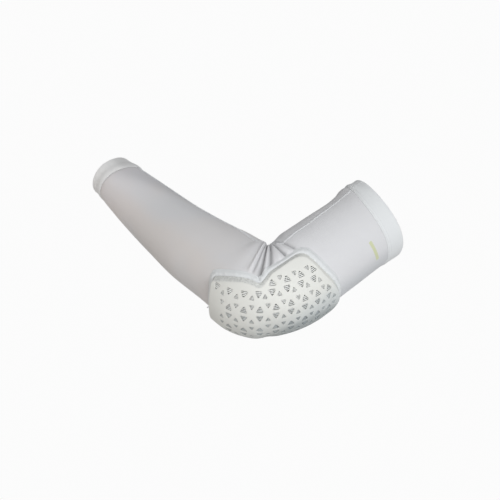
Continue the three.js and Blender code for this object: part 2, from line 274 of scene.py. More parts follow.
def gather_rise(along, angle):
    """How far the gathers lift the knit: nothing in the fold of the crease, or under the pad and rim."""
    turned = np.abs(angle)
    degrees = np.degrees(turned)
    bearing = np.degrees(along / BEND_RADIUS)
    sheet_along, sheet_across = sheet_from_knit(along, turned)
    width = smooth_column(PAD_OUTLINE, "width", sheet_along)
    beyond_rim = sheet_across - width - GATHER_RIM_START
    near_rim = np.where(degrees > GATHER_PAD_REACH, 1, smoothstep(beyond_rim, 0, GATHER_RIM_FADE))
    near_crease = 1 - smoothstep(degrees, GATHER_CREASE_END - GATHER_CREASE_FADE, GATHER_CREASE_END)
    towards_rim = (GATHER_CREASE_BEARING - degrees) / (GATHER_CREASE_BEARING - GATHER_RIM_BEARING)
    rise = 0
    for gather in GATHERS:
        middle = lerp(gather["crease"], gather["rim"], towards_rim)
        away = np.abs(bearing - middle) / gather["spread"]
        sharpness = RIDGE_SHAPE if gather["rise"] > 0 else VALLEY_SHAPE
        rise = rise + gather["rise"] * np.exp(-(away**sharpness))
    return GATHER_DEPTH * rise * near_rim * near_crease


def crease_fullness(along, angle):
    """How much fuller the knit stands beside the crease, where the bend presses it together."""
    most = np.where(along < 0, FULLNESS_NARROW_HALF, FULLNESS_WIDE_HALF)
    beside = 1 - FULLNESS_LOST * bell(along, FULLNESS_PINCH)
    near = bell(np.maximum(np.abs(along) - FULLNESS_REACH, 0), FULLNESS_FADE)
    return most * beside * near * bell(np.degrees(np.abs(angle)) - FULLNESS_ANGLE, FULLNESS_SPREAD)


def crease_side(angle):
    """How much of a band's flare there is at an angle: all of it on the crease side."""
    return bell(np.degrees(np.abs(angle)) - FLARE_ANGLE, FLARE_SPREAD)


def hem_bulge(along, angle):
    """How far the knit swells on the crease side, just below the upper band."""
    return HEM_BULGE * bell(along - HEM_BULGE_ALONG, HEM_BULGE_REACH) * crease_side(angle)


def knit_point(along, angle, lift):
    """A point of the knit's outer face, lifted off it by a height."""
    along, angle, lift = np.broadcast_arrays(*(np.asarray(v, float) for v in (along, angle, lift)))
    centre, outward = sleeve_axis(along)
    half = smooth_column(GIRTH, "half", along)
    outer = smooth_column(GIRTH, "outer", along)
    inner = smooth_column(GIRTH, "inner", along)
    side = np.where(np.cos(angle) > 0, outer, inner)
    height = gather_rise(along, angle) + crease_fullness(along, angle) + hem_bulge(along, angle) + lift
    normal = np.stack([np.cos(angle) / side, np.sin(angle) / half], -1)
    normal /= np.linalg.norm(normal, axis=-1, keepdims=True)
    out = side * np.cos(angle) + normal[..., 0] * height
    up = half * np.sin(angle) + normal[..., 1] * height
    return centre + outward * out[..., None] + UP * up[..., None]


def pad_point(along, across, lift):
    """A point over a place on the pad's flat sheet, lifted off the knit by a height."""
    return knit_point(*knit_from_sheet(along, across), lift)


def unit(vectors):
    return vectors / np.linalg.norm(vectors, axis=-1, keepdims=True)


def surface_axes(point_at, first, second, lift, reach):
    """Two directions on a surface and the one square to it, from points a reach away on each side."""
    ahead = unit(point_at(first + reach[0], second, lift) - point_at(first - reach[0], second, lift))
    side = unit(point_at(first, second + reach[1], lift) - point_at(first, second - reach[1], lift))
    out = unit(np.cross(ahead, side))
    return ahead, np.cross(out, ahead), out


def edge_place(edge, angle):
    """Where a band's edge lies along the sleeve, from its middle, its slant and its bow."""
    middle, slant, bow = edge
    return middle + slant * np.cos(angle) + bow * np.cos(2 * angle)


def slanted(along, angle):
    """A place along the knit, shifted near the bands so that the knit's ends follow their edges."""
    near_wrist = 1 - smoothstep(along, KNIT_START, KNIT_START + SLANT_FADE)
    near_upper = smoothstep(along, KNIT_END - SLANT_FADE, KNIT_END)
    wrist_shift = near_wrist * (edge_place(WRIST_SEWN, angle) - KNIT_START)
    return along + wrist_shift + near_upper * (edge_place(UPPER_SEWN, angle) - KNIT_END)


# Meshes


def make_piece(name, points, faces, material):
    """A smooth mesh piece from points in millimetres."""
    mesh = bpy.data.meshes.new(name)
    mesh.from_pydata((np.asarray(points).reshape(-1, 3) * MM).tolist(), [], faces)
    mesh.shade_smooth()
    mesh.materials.append(material)
    piece = bpy.data.objects.new(name, mesh)
    bpy.context.scene.collection.objects.link(piece)
    return piece


def grid_faces(rows, columns, ring_of_rows):
    """Quads of a grid that closes across its columns, and across its rows too if it is a ring of them."""
    last = rows if ring_of_rows else rows - 1
    row, column = np.meshgrid(np.arange(last), np.arange(columns), indexing="ij")
    row, column = row.ravel(), column.ravel()
    next_row, next_column = (row + 1) % rows, (column + 1) % columns
    corners = [(row, column), (row, next_column), (next_row, next_column), (next_row, column)]
    return np.stack([r * columns + c for r, c in corners], -1).tolist()


def capped_faces(rows, columns):
    """Faces of a tube of rows, with a flat face at each end."""
    last = (rows - 1) * columns
    ends = [list(range(columns))[::-1], list(range(last, last + columns))]
    return grid_faces(rows, columns, False) + ends


def set_attribute(mesh, name, domain, values):
    """Keeps a value or a direction for each point or face of a mesh."""
    values = np.asarray(values, np.float32)
    kind, field = ("FLOAT", "value") if values.ndim == 1 else ("FLOAT_VECTOR", "vector")
    mesh.attributes.new(name, kind, domain).data.foreach_set(field, values.ravel())


def set_grid_uv(piece, u, v):
    """A UV map, in metres, for a grid piece: u for each column and one more, v for each row and column."""
    rows, columns = v.shape
    faces = np.array([tuple(face.vertices) for face in piece.data.polygons])
    row, column = np.divmod(faces, columns)
    wrapped = (column == 0) & (column.max(axis=1, keepdims=True) == columns - 1)
    layer = piece.data.uv_layers.new(name="knit")
    values = np.stack([u[np.where(wrapped, columns, column)], v[row, column]], -1) * MM
    layer.data.foreach_set("uv", values.astype(np.float32).ravel())


def face_outwards(piece):
    """Turns the faces round if the closed mesh's volume is negative."""
    mesh = piece.data
    mesh.calc_loop_triangles()
    points = np.array([v.co for v in mesh.vertices])
    a, b, c = (points[[t.vertices[i] for t in mesh.loop_triangles]] for i in range(3))
    if np.einsum("ij,ij->i", a, np.cross(b, c)).sum() < 0:
        mesh.flip_normals()
    return piece


def tube_wall(name, outer, inner, outer_along, inner_along, material):
    """A tube's wall, from its rows of points outside and inside and where they lie along the sleeve."""
    grid = np.concatenate([outer, inner[::-1]])
    rows, columns = grid.shape[:2]
    piece = make_piece(name, grid, grid_faces(rows, columns, True), material)
    girth = np.linspace(0, 2 * math.pi * PAD_ROLL, columns + 1)
    set_grid_uv(piece, girth, np.concatenate([outer_along, inner_along[::-1]]))
    return face_outwards(piece)


# Node trees


def add_node(tree, kind, inputs=(), **settings):
    """A node with its settings and inputs: an input is a value, or another node's output to link."""
    made = tree.nodes.new(kind)
    for name, value in settings.items():
        setattr(made, name, value)
    for socket, value in dict(inputs).items():
        if isinstance(value, bpy.types.NodeSocket):
            tree.links.new(value, made.inputs[socket])
        else:
            made.inputs[socket].default_value = value
    return made


def math_node(tree, operation, *values, clamp=False):
    inputs = dict(enumerate(values))
    return add_node(tree, "ShaderNodeMath", inputs, operation=operation, use_clamp=clamp).outputs[0]


# Sockets of a Mix node, by their order: the two numbers, the two colours and the mixed colour
FIRST_NUMBER = 2
SECOND_NUMBER = 3
FIRST_COLOUR = 6
SECOND_COLOUR = 7
MIXED_COLOUR = 2


def mix_colour(tree, blend, factor, first, second):
    inputs = {"Factor": factor, FIRST_COLOUR: first, SECOND_COLOUR: second}
    made = add_node(tree, "ShaderNodeMix", inputs, data_type="RGBA", blend_type=blend)
    return made.outputs[MIXED_COLOUR]


def noise_value(tree, place, scale, detail):
    inputs = {"Vector": place, "Scale": scale, "Detail": detail}
    return add_node(tree, "ShaderNodeTexNoise", inputs).outputs["Fac"]


def new_tree(name, kind, inputs, outputs):
    """An empty node tree with sockets of the given names and kinds, its input node and its output node."""
    tree = bpy.data.node_groups.new(name, kind)
    for direction, sockets in (("INPUT", inputs), ("OUTPUT", outputs)):
        for label, socket in sockets.items():
            tree.interface.new_socket(label, in_out=direction, socket_type="NodeSocket" + socket)
    return tree, tree.nodes.new("NodeGroupInput"), tree.nodes.new("NodeGroupOutput")


# The knitted loops: how much their sides lean, how narrow the valleys between the wales are, how high the
# wales stand over the strands, and the painted shade between the loops and how much the loops lighten it
LOOP_LEAN = 0.5
WALE_VALLEY = 4.0
WALE_HEIGHT = 0.6
LOOP_DARKEST = 0.94
LOOP_LIGHTER = 0.07


def knit_loops_group():
    """Rows of knitted loops, as a height and as a slight painted shade between the loops."""
    inputs = {"Vector": "Vector", "Wales": "Float", "Courses": "Float"}
    outputs = {"Height": "Float", "Shade": "Float"}
    tree, given, result = new_tree("knit_loops", "ShaderNodeTree", inputs, outputs)
    place = add_node(tree, "ShaderNodeSeparateXYZ", {0: given.outputs["Vector"]})
    across = math_node(tree, "MULTIPLY", place.outputs["X"], given.outputs["Wales"])
    wave = math_node(tree, "PINGPONG", across, 0.5)
    side = math_node(tree, "MULTIPLY", wave, 2.0)
    along = math_node(tree, "MULTIPLY", place.outputs["Y"], given.outputs["Courses"])
    leaning = math_node(tree, "MULTIPLY_ADD", side, LOOP_LEAN, along)
    strand = math_node(tree, "PINGPONG", leaning, 0.5)
    valley = math_node(tree, "POWER", side, WALE_VALLEY)
    wale = math_node(tree, "SUBTRACT", 1.0, valley)
    height = math_node(tree, "MULTIPLY_ADD", wale, WALE_HEIGHT, strand)
    shade = math_node(tree, "MULTIPLY_ADD", height, LOOP_LIGHTER, LOOP_DARKEST)
    tree.links.new(height, result.inputs["Height"])
    tree.links.new(shade, result.inputs["Shade"])
    return tree


MOTTLE_DETAIL = 3.0


def soft_mottle_group():
    """Broad, faint changes of tone, as light and dark, about 1."""
    inputs = {"Vector": "Vector", "Scale": "Float", "Amount": "Float"}
    tree, given, result = new_tree("soft_mottle", "ShaderNodeTree", inputs, {"Tone": "Float"})
    noise = noise_value(tree, given.outputs["Vector"], given.outputs["Scale"], MOTTLE_DETAIL)
    centred = math_node(tree, "SUBTRACT", noise, 0.5)
    tone = math_node(tree, "MULTIPLY_ADD", centred, given.outputs["Amount"], 1.0)
    tree.links.new(tone, result.inputs["Tone"])
    return tree


KNIT_LOOPS = knit_loops_group()
SOFT_MOTTLE = soft_mottle_group()


# How much every finish of the object shines, and how wide its soft sheen spreads
SPECULAR_LEVEL = 0.25
SHEEN_SPREAD = 0.45


def start_material(name, roughness, sheen):
    """A material with its Principled shader, whose plain values are set on the shader itself."""
    material = bpy.data.materials.new(name)
    material.use_nodes = True
    tree = material.node_tree
    shader = tree.nodes["Principled BSDF"]
    shader.inputs["Roughness"].default_value = roughness
    shader.inputs["Specular IOR Level"].default_value = SPECULAR_LEVEL
    shader.inputs["Sheen Weight"].default_value = sheen
    shader.inputs["Sheen Roughness"].default_value = SHEEN_SPREAD
    return material, tree, shader


def add_group(tree, group, **inputs):
    return add_node(tree, "ShaderNodeGroup", inputs.items(), node_tree=group)


def object_place(tree):
    return add_node(tree, "ShaderNodeTexCoord").outputs["Object"]


def piece_attribute(tree, name):
    return add_node(tree, "ShaderNodeAttribute", attribute_name=name).outputs["Fac"]


def add_bump(tree, shader, height, strength, distance):
    inputs = {"Height": height, "Strength": strength, "Distance": distance}
    bump = add_node(tree, "ShaderNodeBump", inputs)
    tree.links.new(bump.outputs["Normal"], shader.inputs["Normal"])


def toned(tree, colour, tones):
    """A colour multiplied by several tones."""
    for tone in tones:
        colour = mix_colour(tree, "MULTIPLY", 1.0, colour, tone)
    return colour


def soft_range(tree, value, start, end, low=0.0, high=1.0):
    """Turns softly from low to high while a value goes from start to end."""
    inputs = {"Value": value, "From Min": start, "From Max": end, "To Min": low, "To Max": high}
    return add_node(tree, "ShaderNodeMapRange", inputs, interpolation_type="SMOOTHSTEP").outputs["Result"]


# Painted light and shade that make a side of a piece whiter, warmer or greyer: the direction it faces, where
# the tone sets in along that direction and where it is full, in metres, and the tone itself
WRIST_KNIT_PAINTED_LIGHT = ((0.0, 1.0, 0.0), 0.165, 0.29, (1.23, 1.21, 1.22))
OUTER_KNIT_PAINTED_LIGHT = ((-0.83, 0.0, -0.558), -0.008, 0.016, (1.015, 0.99, 0.965))
LOW_UPPER_KNIT_PAINTED_SHADE = ((0.0, -0.83, -0.558), 0.036, 0.056, (0.86, 0.88, 0.89))
WRIST_TOP_PAINTED_SHADE = ((0.83, 0.0, 0.558), 0.017, 0.027, (0.84, 0.84, 0.84))
LEFT_PAD_PAINTED_SHADE = ((-0.865, 0.138, -0.488), -0.012, 0.02, (0.945, 0.945, 0.945))
RIGHT_PAD_PAINTED_SHADE = ((0.06, -0.87, -0.488), 0.036, 0.058, (0.955, 0.98, 1.005))
LOW_PAD_PAINTED_SHADE = ((-0.1, -0.61, -0.785), 0.006, 0.044, (0.83, 0.845, 0.86))
LOW_RIGHT_PAD_PAINTED_SHADE = ((-0.17, -0.764, -0.626), 0.042, 0.051, (0.69, 0.705, 0.71))
LOW_RIBS_PAINTED_SHADE = ((-0.45, -0.4, -0.8), -0.012, 0.036, (0.55, 0.57, 0.58))
RIGHT_RIBS_PAINTED_SHADE = ((0.06, -0.87, -0.488), 0.028, 0.053, (0.72, 0.73, 0.73))
# The same painted shade for the knit on the wrist's far side, with the direction on the knit's own UV sheet
FAR_WRIST_KNIT_PAINTED_SHADE = ((2.0, -1.0, 0.0), 0.755, 0.85, (0.83, 0.83, 0.835))


def with_painted_side_light(tree, colour, place, sides):
    """A colour with the painted light and shade of a piece's sides."""
    for facing, start, end, tone in sides:
        aimed = add_node(tree, "ShaderNodeVectorMath", {0: place, 1: facing}, operation="DOT_PRODUCT")
        share = soft_range(tree, aimed.outputs["Value"], start, end)
        colour = mix_colour(tree, "MULTIPLY", share, colour, (*tone, 1))
    return colour


# The knit's finish: the scale of its mottling, the strength and depth of its loops' relief, how much painted
# shade darkens the deepest valley of the gathers, the span over which painted light whitens it, and its
# tints
KNIT_ROUGHNESS = 0.78
KNIT_SHEEN = 0.2
KNIT_MOTTLE_SCALE = 18.0
KNIT_RELIEF = (0.35, 0.00025)
VALLEY_PAINTED_SHADE = 0.57
WIDE_HALF_FROM = -0.08
WIDE_HALF_TO = 0.03
WIDE_HALF_PAINTED_LIGHT = 1.13
TINT_SCALE = 16.0
TINT_PATCH = (0.35, 0.6)
COOL_TINT = (0.98, 0.987, 1.0)
WARM_TINT = (1.0, 0.985, 0.98)

# The plain printed bar near the upper band: its middle on the knit, its turn, its size in metres and how
# much of the knit's own colour it covers
PRINT_COLOUR = (0.62, 0.65, 0.38)
BAR_ALONG = 0.1305
BAR_ANGLE = math.radians(21)
BAR_TURN = math.radians(-8)
BAR_SIZE = (0.034, 0.005)
BAR_COVER = 0.85


def painted_valley_shade(tree):
    """How much painted shade darkens the knit in the valleys between the gathers, from the sleeve's own
    attribute.
    """
    return math_node(tree, "MULTIPLY_ADD", piece_attribute(tree, "valley"), -VALLEY_PAINTED_SHADE, 1.0, clamp=True)


def wide_half_painted_light(tree, along):
    """Painted light: the knit is whiter from the elbow up."""
    return soft_range(tree, along, WIDE_HALF_FROM, WIDE_HALF_TO, 1.0, WIDE_HALF_PAINTED_LIGHT)


def knit_tint(tree, along):
    """Faint tints of the knit: cool from the elbow up, with warm patches down the narrow half."""
    narrow_half = soft_range(tree, along, WIDE_HALF_TO, WIDE_HALF_FROM)
    patch = soft_range(tree, noise_value(tree, object_place(tree), TINT_SCALE, 1.0), *TINT_PATCH)
    share = math_node(tree, "MULTIPLY", narrow_half, patch)
    return mix_colour(tree, "MIX", share, (*COOL_TINT, 1), (*WARM_TINT, 1))


def printed_bar(tree, place):
    """A mask with one plain bar, from a UV place."""
    middle = ((math.pi + BAR_ANGLE) * PAD_ROLL * MM, BAR_ALONG, 0)
    inputs = {"Vector": place, "Location": middle, "Rotation": (0, 0, BAR_TURN)}
    moved = add_node(tree, "ShaderNodeMapping", inputs, vector_type="TEXTURE")
    sides = add_node(tree, "ShaderNodeSeparateXYZ", {0: moved.outputs["Vector"]})
    inside = BAR_COVER
    for axis, size in zip("XY", BAR_SIZE):
        away = math_node(tree, "ABSOLUTE", sides.outputs[axis])
        within = math_node(tree, "LESS_THAN", away, size / 2)
        inside = math_node(tree, "MULTIPLY", within, inside)
    return inside


def knit_material(name, colour, gauge, mottle, sides=(), gathered=False):
    """Fine stretch knit with loops along its sheet. The gathered knit has painted valley shade, painted
    light, tints and a bar too.
    """
    material, tree, shader = start_material(name, KNIT_ROUGHNESS, KNIT_SHEEN)
    sheet = add_node(tree, "ShaderNodeUVMap", uv_map="knit").outputs["UV"]
    place = object_place(tree)
    wales, courses = gauge
    loops = add_group(tree, KNIT_LOOPS, Vector=sheet, Wales=wales, Courses=courses)
    mottling = add_group(tree, SOFT_MOTTLE, Vector=place, Scale=KNIT_MOTTLE_SCALE, Amount=mottle)
    base = toned(tree, (*colour, 1), [loops.outputs["Shade"], mottling.outputs["Tone"]])
    base = with_painted_side_light(tree, base, place, sides)
    if gathered:
        along = add_node(tree, "ShaderNodeSeparateXYZ", {0: sheet}).outputs["Y"]
        base = toned(tree, base, [painted_valley_shade(tree), wide_half_painted_light(tree, along), knit_tint(tree, along)])
        base = with_painted_side_light(tree, base, sheet, [FAR_WRIST_KNIT_PAINTED_SHADE])
        base = mix_colour(tree, "MIX", printed_bar(tree, sheet), base, (*PRINT_COLOUR, 1))
    tree.links.new(base, shader.inputs["Base Color"])
    add_bump(tree, shader, loops.outputs["Height"], *KNIT_RELIEF)
    return material


# The foam's finish: the grey of its bevel, partly its own and partly painted shade, the painted shade on the
# vents' walls, and its skin's grain, which is coarser on the bevel than on the face, with the strength and
# depth of its relief
FOAM_ROUGHNESS = 0.6
FOAM_SHEEN = 0.05
FOAM_MOTTLE = {"Scale": 30.0, "Amount": 0.03}
BEVEL_GREY_AND_SHADE = (0.68, 0.69, 0.67)
VENT_WALL_PAINTED_SHADE = (0.75, 0.76, 0.76)
BEVEL_SPECKLE = 0.9
GRAIN_SCALE = 460.0
GRAIN_DETAIL = 3.0
GRAIN_ON_FACE = 0.25
GRAIN_ADDED_ON_BEVEL = 2.2
FOAM_RELIEF = (0.4, 0.0006)


def foam_material(name, colour, sides):
    """Moulded foam with a fine skin, greyer (partly painted shade) and coarser on the bevel, vents' walls in
    painted shade.
    """
    material, tree, shader = start_material(name, FOAM_ROUGHNESS, FOAM_SHEEN)
    place = object_place(tree)
    bevel = piece_attribute(tree, "bevel")
    base = mix_colour(tree, "MIX", bevel, (*colour, 1), (*BEVEL_GREY_AND_SHADE, 1))
    base = with_painted_side_light(tree, base, place, sides)
    base = mix_colour(tree, "MULTIPLY", piece_attribute(tree, "vent_wall"), base, (*VENT_WALL_PAINTED_SHADE, 1))
    grain = noise_value(tree, place, GRAIN_SCALE, GRAIN_DETAIL)
    centred = math_node(tree, "SUBTRACT", grain, 0.5)
    on_bevel = math_node(tree, "MULTIPLY", centred, bevel)
    speckle = math_node(tree, "MULTIPLY_ADD", on_bevel, BEVEL_SPECKLE, 1.0)
    mottling = add_group(tree, SOFT_MOTTLE, Vector=place, **FOAM_MOTTLE)
    base = toned(tree, base, [mottling.outputs["Tone"], speckle])
    tree.links.new(base, shader.inputs["Base Color"])
    coarse = math_node(tree, "MULTIPLY_ADD", bevel, GRAIN_ADDED_ON_BEVEL, GRAIN_ON_FACE)
    add_bump(tree, shader, math_node(tree, "MULTIPLY", grain, coarse), *FOAM_RELIEF)
    return material


# The thread's finish: its mottling, the scale of its twist and the strength and depth of the twist's relief
THREAD_ROUGHNESS = 0.7
THREAD_SHEEN = 0.25
THREAD_MOTTLE = {"Scale": 900.0, "Amount": 0.18}
TWIST_SCALE = 4000.0
TWIST_DETAIL = 2.0
TWIST_RELIEF = (0.4, 0.0001)


def thread_material(name, colour):
    """Soft spun thread, with a fine twist."""
    material, tree, shader = start_material(name, THREAD_ROUGHNESS, THREAD_SHEEN)
    place = object_place(tree)
    mottling = add_group(tree, SOFT_MOTTLE, Vector=place, **THREAD_MOTTLE)
    base = toned(tree, (*colour, 1), [mottling.outputs["Tone"]])
    tree.links.new(base, shader.inputs["Base Color"])
    add_bump(tree, shader, noise_value(tree, place, TWIST_SCALE, TWIST_DETAIL), *TWIST_RELIEF)
    return material


# How many loops the knit has in each metre round it and along it, on the sleeve and on the hems, and how
# strong its mottling is
SLEEVE_GAUGE = (1400.0, 1700.0)
HEM_GAUGE = (700.0, 1500.0)
SLEEVE_MOTTLE = 0.05
HEM_MOTTLE = 0.04

KNIT = knit_material(
    "fine_white_knit",
    (0.65, 0.648, 0.654),
    SLEEVE_GAUGE,
    SLEEVE_MOTTLE,
    sides=[WRIST_KNIT_PAINTED_LIGHT, OUTER_KNIT_PAINTED_LIGHT, LOW_UPPER_KNIT_PAINTED_SHADE],
    gathered=True,
)
UPPER_HEM = knit_material("upper_hem_knit", (0.77, 0.79, 0.80), HEM_GAUGE, HEM_MOTTLE)
WRIST_HEM = knit_material("wrist_hem_knit", (0.84, 0.84, 0.84), HEM_GAUGE, HEM_MOTTLE, sides=[WRIST_TOP_PAINTED_SHADE])
RIM_KNIT = knit_material("rim_knit", (0.74, 0.76, 0.77), SLEEVE_GAUGE, SLEEVE_MOTTLE)
PAD_FOAM = foam_material("pad_foam", (0.752, 0.757, 0.723), [LEFT_PAD_PAINTED_SHADE, RIGHT_PAD_PAINTED_SHADE, LOW_PAD_PAINTED_SHADE, LOW_RIGHT_PAD_PAINTED_SHADE])
RIB_FOAM = foam_material("vent_rib_foam", (0.94, 0.95, 0.93), [RIGHT_PAD_PAINTED_SHADE, LOW_PAD_PAINTED_SHADE, LOW_RIBS_PAINTED_SHADE, RIGHT_RIBS_PAINTED_SHADE])
THREAD = thread_material("white_thread", (0.68, 0.69, 0.70))


# The sleeve

# Steps round the sleeve, the depth in millimetres at which a valley's painted shade is darkest, the reach
# of the pinched crease's painted shade along it and the angles over which it sets in, and the stretches of
# rows: start, end and step
ROUND_STEPS = 132
DEEPEST_VALLEY = 3.2
PINCH_SHADE_REACH = 4.0
PINCH_SHADE_ANGLES = (110.0, 135.0)
SLEEVE_STRETCHES = [(KNIT_START, -52.0, 2.2), (-52.0, 56.0, 0.85), (56.0, KNIT_END, 2.2)]
# Painted shade at the main fold's wide end beside the pad's notch: its place along the sleeve and its angle
# in degrees, and how far it reaches each way
FOLD_END_SHADE = (-4.3, 64.0)
FOLD_END_SHADE_REACH = (2.7, 9.0)
AROUND = np.linspace(-math.pi, math.pi, ROUND_STEPS, endpoint=False)


def sleeve_places():
    """Places of the sleeve's rows along its axis, closest together through the gathers."""
    stretches = [np.arange(start, end, step) for start, end, step in SLEEVE_STRETCHES]
    return np.concatenate([*stretches, [KNIT_END]])


def make_sleeve():
    """The knitted tube, with the painted shade of its valleys, pinched crease and main fold's end kept for
    the material.
    """
    along = slanted(sleeve_places()[:, None], AROUND[None, :])
    outer = knit_point(along, AROUND, 0)
    inner = knit_point(along, AROUND, -KNIT_WALL)
    piece = tube_wall("sleeve_knit", outer, inner, along, along, KNIT)
    # Painted shade: how dark the knit is in the valleys, in the pinched crease and at the main fold's end
    depth = np.clip(-gather_rise(along, np.broadcast_to(AROUND, along.shape)) / DEEPEST_VALLEY, 0, 1)
    degrees = np.degrees(np.abs(AROUND))
    pinch = bell(along, PINCH_SHADE_REACH) * smoothstep(degrees, *PINCH_SHADE_ANGLES)
    fold_end_shade = bell(along - FOLD_END_SHADE[0], FOLD_END_SHADE_REACH[0]) * bell(degrees - FOLD_END_SHADE[1], FOLD_END_SHADE_REACH[1])
    depth = np.maximum(np.maximum(depth, pinch), fold_end_shade)
    set_attribute(piece.data, "valley", "POINT", np.concatenate([depth, depth[::-1]]).ravel())
    return piece


# The hem bands

# Rows across a band and round its fold, the gap where the fold closes, and the puckers along the stitching
BAND_ROWS = 26
FOLD_ROWS = 5
FOLD_GAP = 0.02
PUCKER_COUNT = 90
PUCKER_HEIGHT = 0.16
PUCKER_REACH = 0.12


def band_place(free, sewn, across, angle):
    """Where a line round a band lies along the sleeve, at a share of the band's width."""
    return lerp(edge_place(free, angle), edge_place(sewn, angle), across)


def band_lift(profile, across, angle):
    """How far a band's outer face stands off the knit, with small puckers along its stitching."""
    flare = smooth_column(profile, "flare", across) * crease_side(angle)
    pucker = PUCKER_HEIGHT * np.cos(PUCKER_COUNT * angle) * bell(1 - across, PUCKER_REACH)
    return smooth_column(profile, "lift", across) + flare + pucker


def make_band(name, free, sewn, profile, material):
    """A folded hem: a wall with a round fold at its free edge and a thin edge where it is sewn on."""
    across = np.linspace(0, 1, BAND_ROWS)[:, None]
    angle = AROUND[None, :]
    along = band_place(free, sewn, across, angle)
    lift = band_lift(profile, across, angle)
    fold = np.radians(np.linspace(-90, 90, FOLD_ROWS + 2)[1:-1, None])
    towards_free = np.sign(free[0] - sewn[0])
    half_wall = BAND_WALL / 2
    fold_along = along[:1] + towards_free * half_wall * np.cos(fold)
    fold_lift = lift[:1] - half_wall + half_wall * np.sin(fold)
    outer = np.concatenate([knit_point(fold_along, angle, fold_lift), knit_point(along, angle, lift)])
    inner = np.concatenate([
        knit_point(fold_along[:1], angle, fold_lift[:1] - FOLD_GAP),
        knit_point(along, angle, lift - BAND_WALL),
    ])
    outer_along = np.concatenate([fold_along, along])
    inner_along = np.concatenate([fold_along[:1], along])
    return tube_wall(name, outer, inner, outer_along, inner_along, material)


# The pad, its rim and its vents

# Points round the pad's outline and between two of its corners, the width of the bevel at the pad's sides
# and ends, the shares of that width where the rings lie, up to where the slope is straight, where it has
# rounded off and where the bevel's grey ends, how far apart the face's points are, and the waist between
# the lobes
OUTLINE_POINTS = 480
OUTLINE_CURVE_STEPS = 40
PAD_BEVEL_SIDE = 6.8
PAD_BEVEL_END = 3.6
BEVEL_STATIONS = [0, 0.12, 0.3, 0.5, 0.7, 0.86, 0.95, 1.03, 1.1, 1.18, 1.35, 1.7]
BEVEL_STRAIGHT = 0.88
BEVEL_ROUNDED = 1.16
BEVEL_GREY_END = (0.86, 1.03)
FACE_SPACING = 2.6
WAIST_ALONG = 1.0
WAIST_SPREAD = 9.0
WAIST_DIP = 2.2
# How far the outline faces along the sleeve where the wide lobe's end begins and where it is full
WIDE_END_FACING = (0.25, 0.65)


def pad_outline():
    """The pad's closed outline on its flat sheet, at even steps, and the direction outwards from it."""
    side = np.stack([PAD_OUTLINE["along"], PAD_OUTLINE["width"]], -1)
    corners = np.concatenate([side * (1, -1), side[::-1]])
    p0, p1, p2, p3 = (np.roll(corners, shift, axis=0) for shift in (1, 0, -1, -2))
    spans = ((p0, p1), (p1, p2), (p2, p3))
    d0, d1, d2 = (np.sqrt(np.linalg.norm(b - a, axis=1)[:, None]) for a, b in spans)
    leave = ((p1 - p0) / d0 - (p2 - p0) / (d0 + d1) + (p2 - p1) / d1) * d1
    reach = ((p2 - p1) / d1 - (p3 - p1) / (d1 + d2) + (p3 - p2) / d2) * d1
    t = np.linspace(0, 1, OUTLINE_CURVE_STEPS, endpoint=False)[None, :, None]
    p1, p2, leave, reach = (v[:, None, :] for v in (p1, p2, leave, reach))
    curve = (
        p1 * (1 + 2 * t) * (1 - t) ** 2
        + p2 * (3 - 2 * t) * t**2
        + t * (1 - t) * (leave * (1 - t) - reach * t)
    ).reshape(-1, 2)
    closed = np.concatenate([curve, curve[:1]])
    length = np.concatenate([[0], np.cumsum(np.linalg.norm(np.diff(closed, axis=0), axis=1))])
    even = np.linspace(0, length[-1], OUTLINE_POINTS, endpoint=False)
    points = np.stack([np.interp(even, length, closed[:, i]) for i in (0, 1)], -1)
    ahead = unit(np.roll(points, -1, axis=0) - np.roll(points, 1, axis=0))
    return points, np.stack([ahead[:, 1], -ahead[:, 0]], -1)


OUTLINE, OUTWARDS = pad_outline()
BEVEL_WIDTH = lerp(PAD_BEVEL_SIDE, PAD_BEVEL_END, OUTWARDS[:, 0] ** 2)
AT_WIDE_END = smoothstep(OUTWARDS[:, 0], *WIDE_END_FACING)


def inside_depth(points):
    """How far points lie inside the pad's outline, below 0 outside it, and the bevel's width there."""
    apart = np.linalg.norm(points[:, None, :] - OUTLINE[None, :, :], axis=-1)
    nearest = apart.argmin(axis=1)
    inward = -np.einsum("ij,ij->i", points - OUTLINE[nearest], OUTWARDS[nearest])
    return np.where(inward > 0, 1, -1) * apart.min(axis=1), BEVEL_WIDTH[nearest]


def bevel_height(share):
    """The pad's height at a share of the bevel's width: a straight slope with a rounded top edge."""
    bend = BEVEL_ROUNDED - BEVEL_STRAIGHT
    steep = 1 / (BEVEL_STRAIGHT + bend / 2)
    rounded = 1 - steep / (2 * bend) * (BEVEL_ROUNDED - np.minimum(share, BEVEL_ROUNDED)) ** 2
    return np.where(share < BEVEL_STRAIGHT, steep * share, rounded)


def pad_face_lift(along, share):
    """How far the pad's face stands off the knit, with the slight waist between its lobes."""
    risen = bevel_height(share)
    waist = WAIST_DIP * bell(along - WAIST_ALONG, WAIST_SPREAD)
    return lerp(PAD_SIDE_HEIGHT, PAD_HEIGHT - waist, risen)


def hex_places(spacing, low, high):
    """Points of a triangular lattice in a box."""
    rise = spacing * math.sqrt(3) / 2
    places = []
    for i, across in enumerate(np.arange(low[1], high[1], rise)):
        along = np.arange(low[0] + (i % 2) * spacing / 2, high[0], spacing)
        places.append(np.column_stack([along, np.full_like(along, across)]))
    return np.concatenate(places)


# How the face is filled in: only inside its outline, with points this close, in millimetres, made one
FILL_INSIDE = 1
JOINED_WITHIN = 1e-6


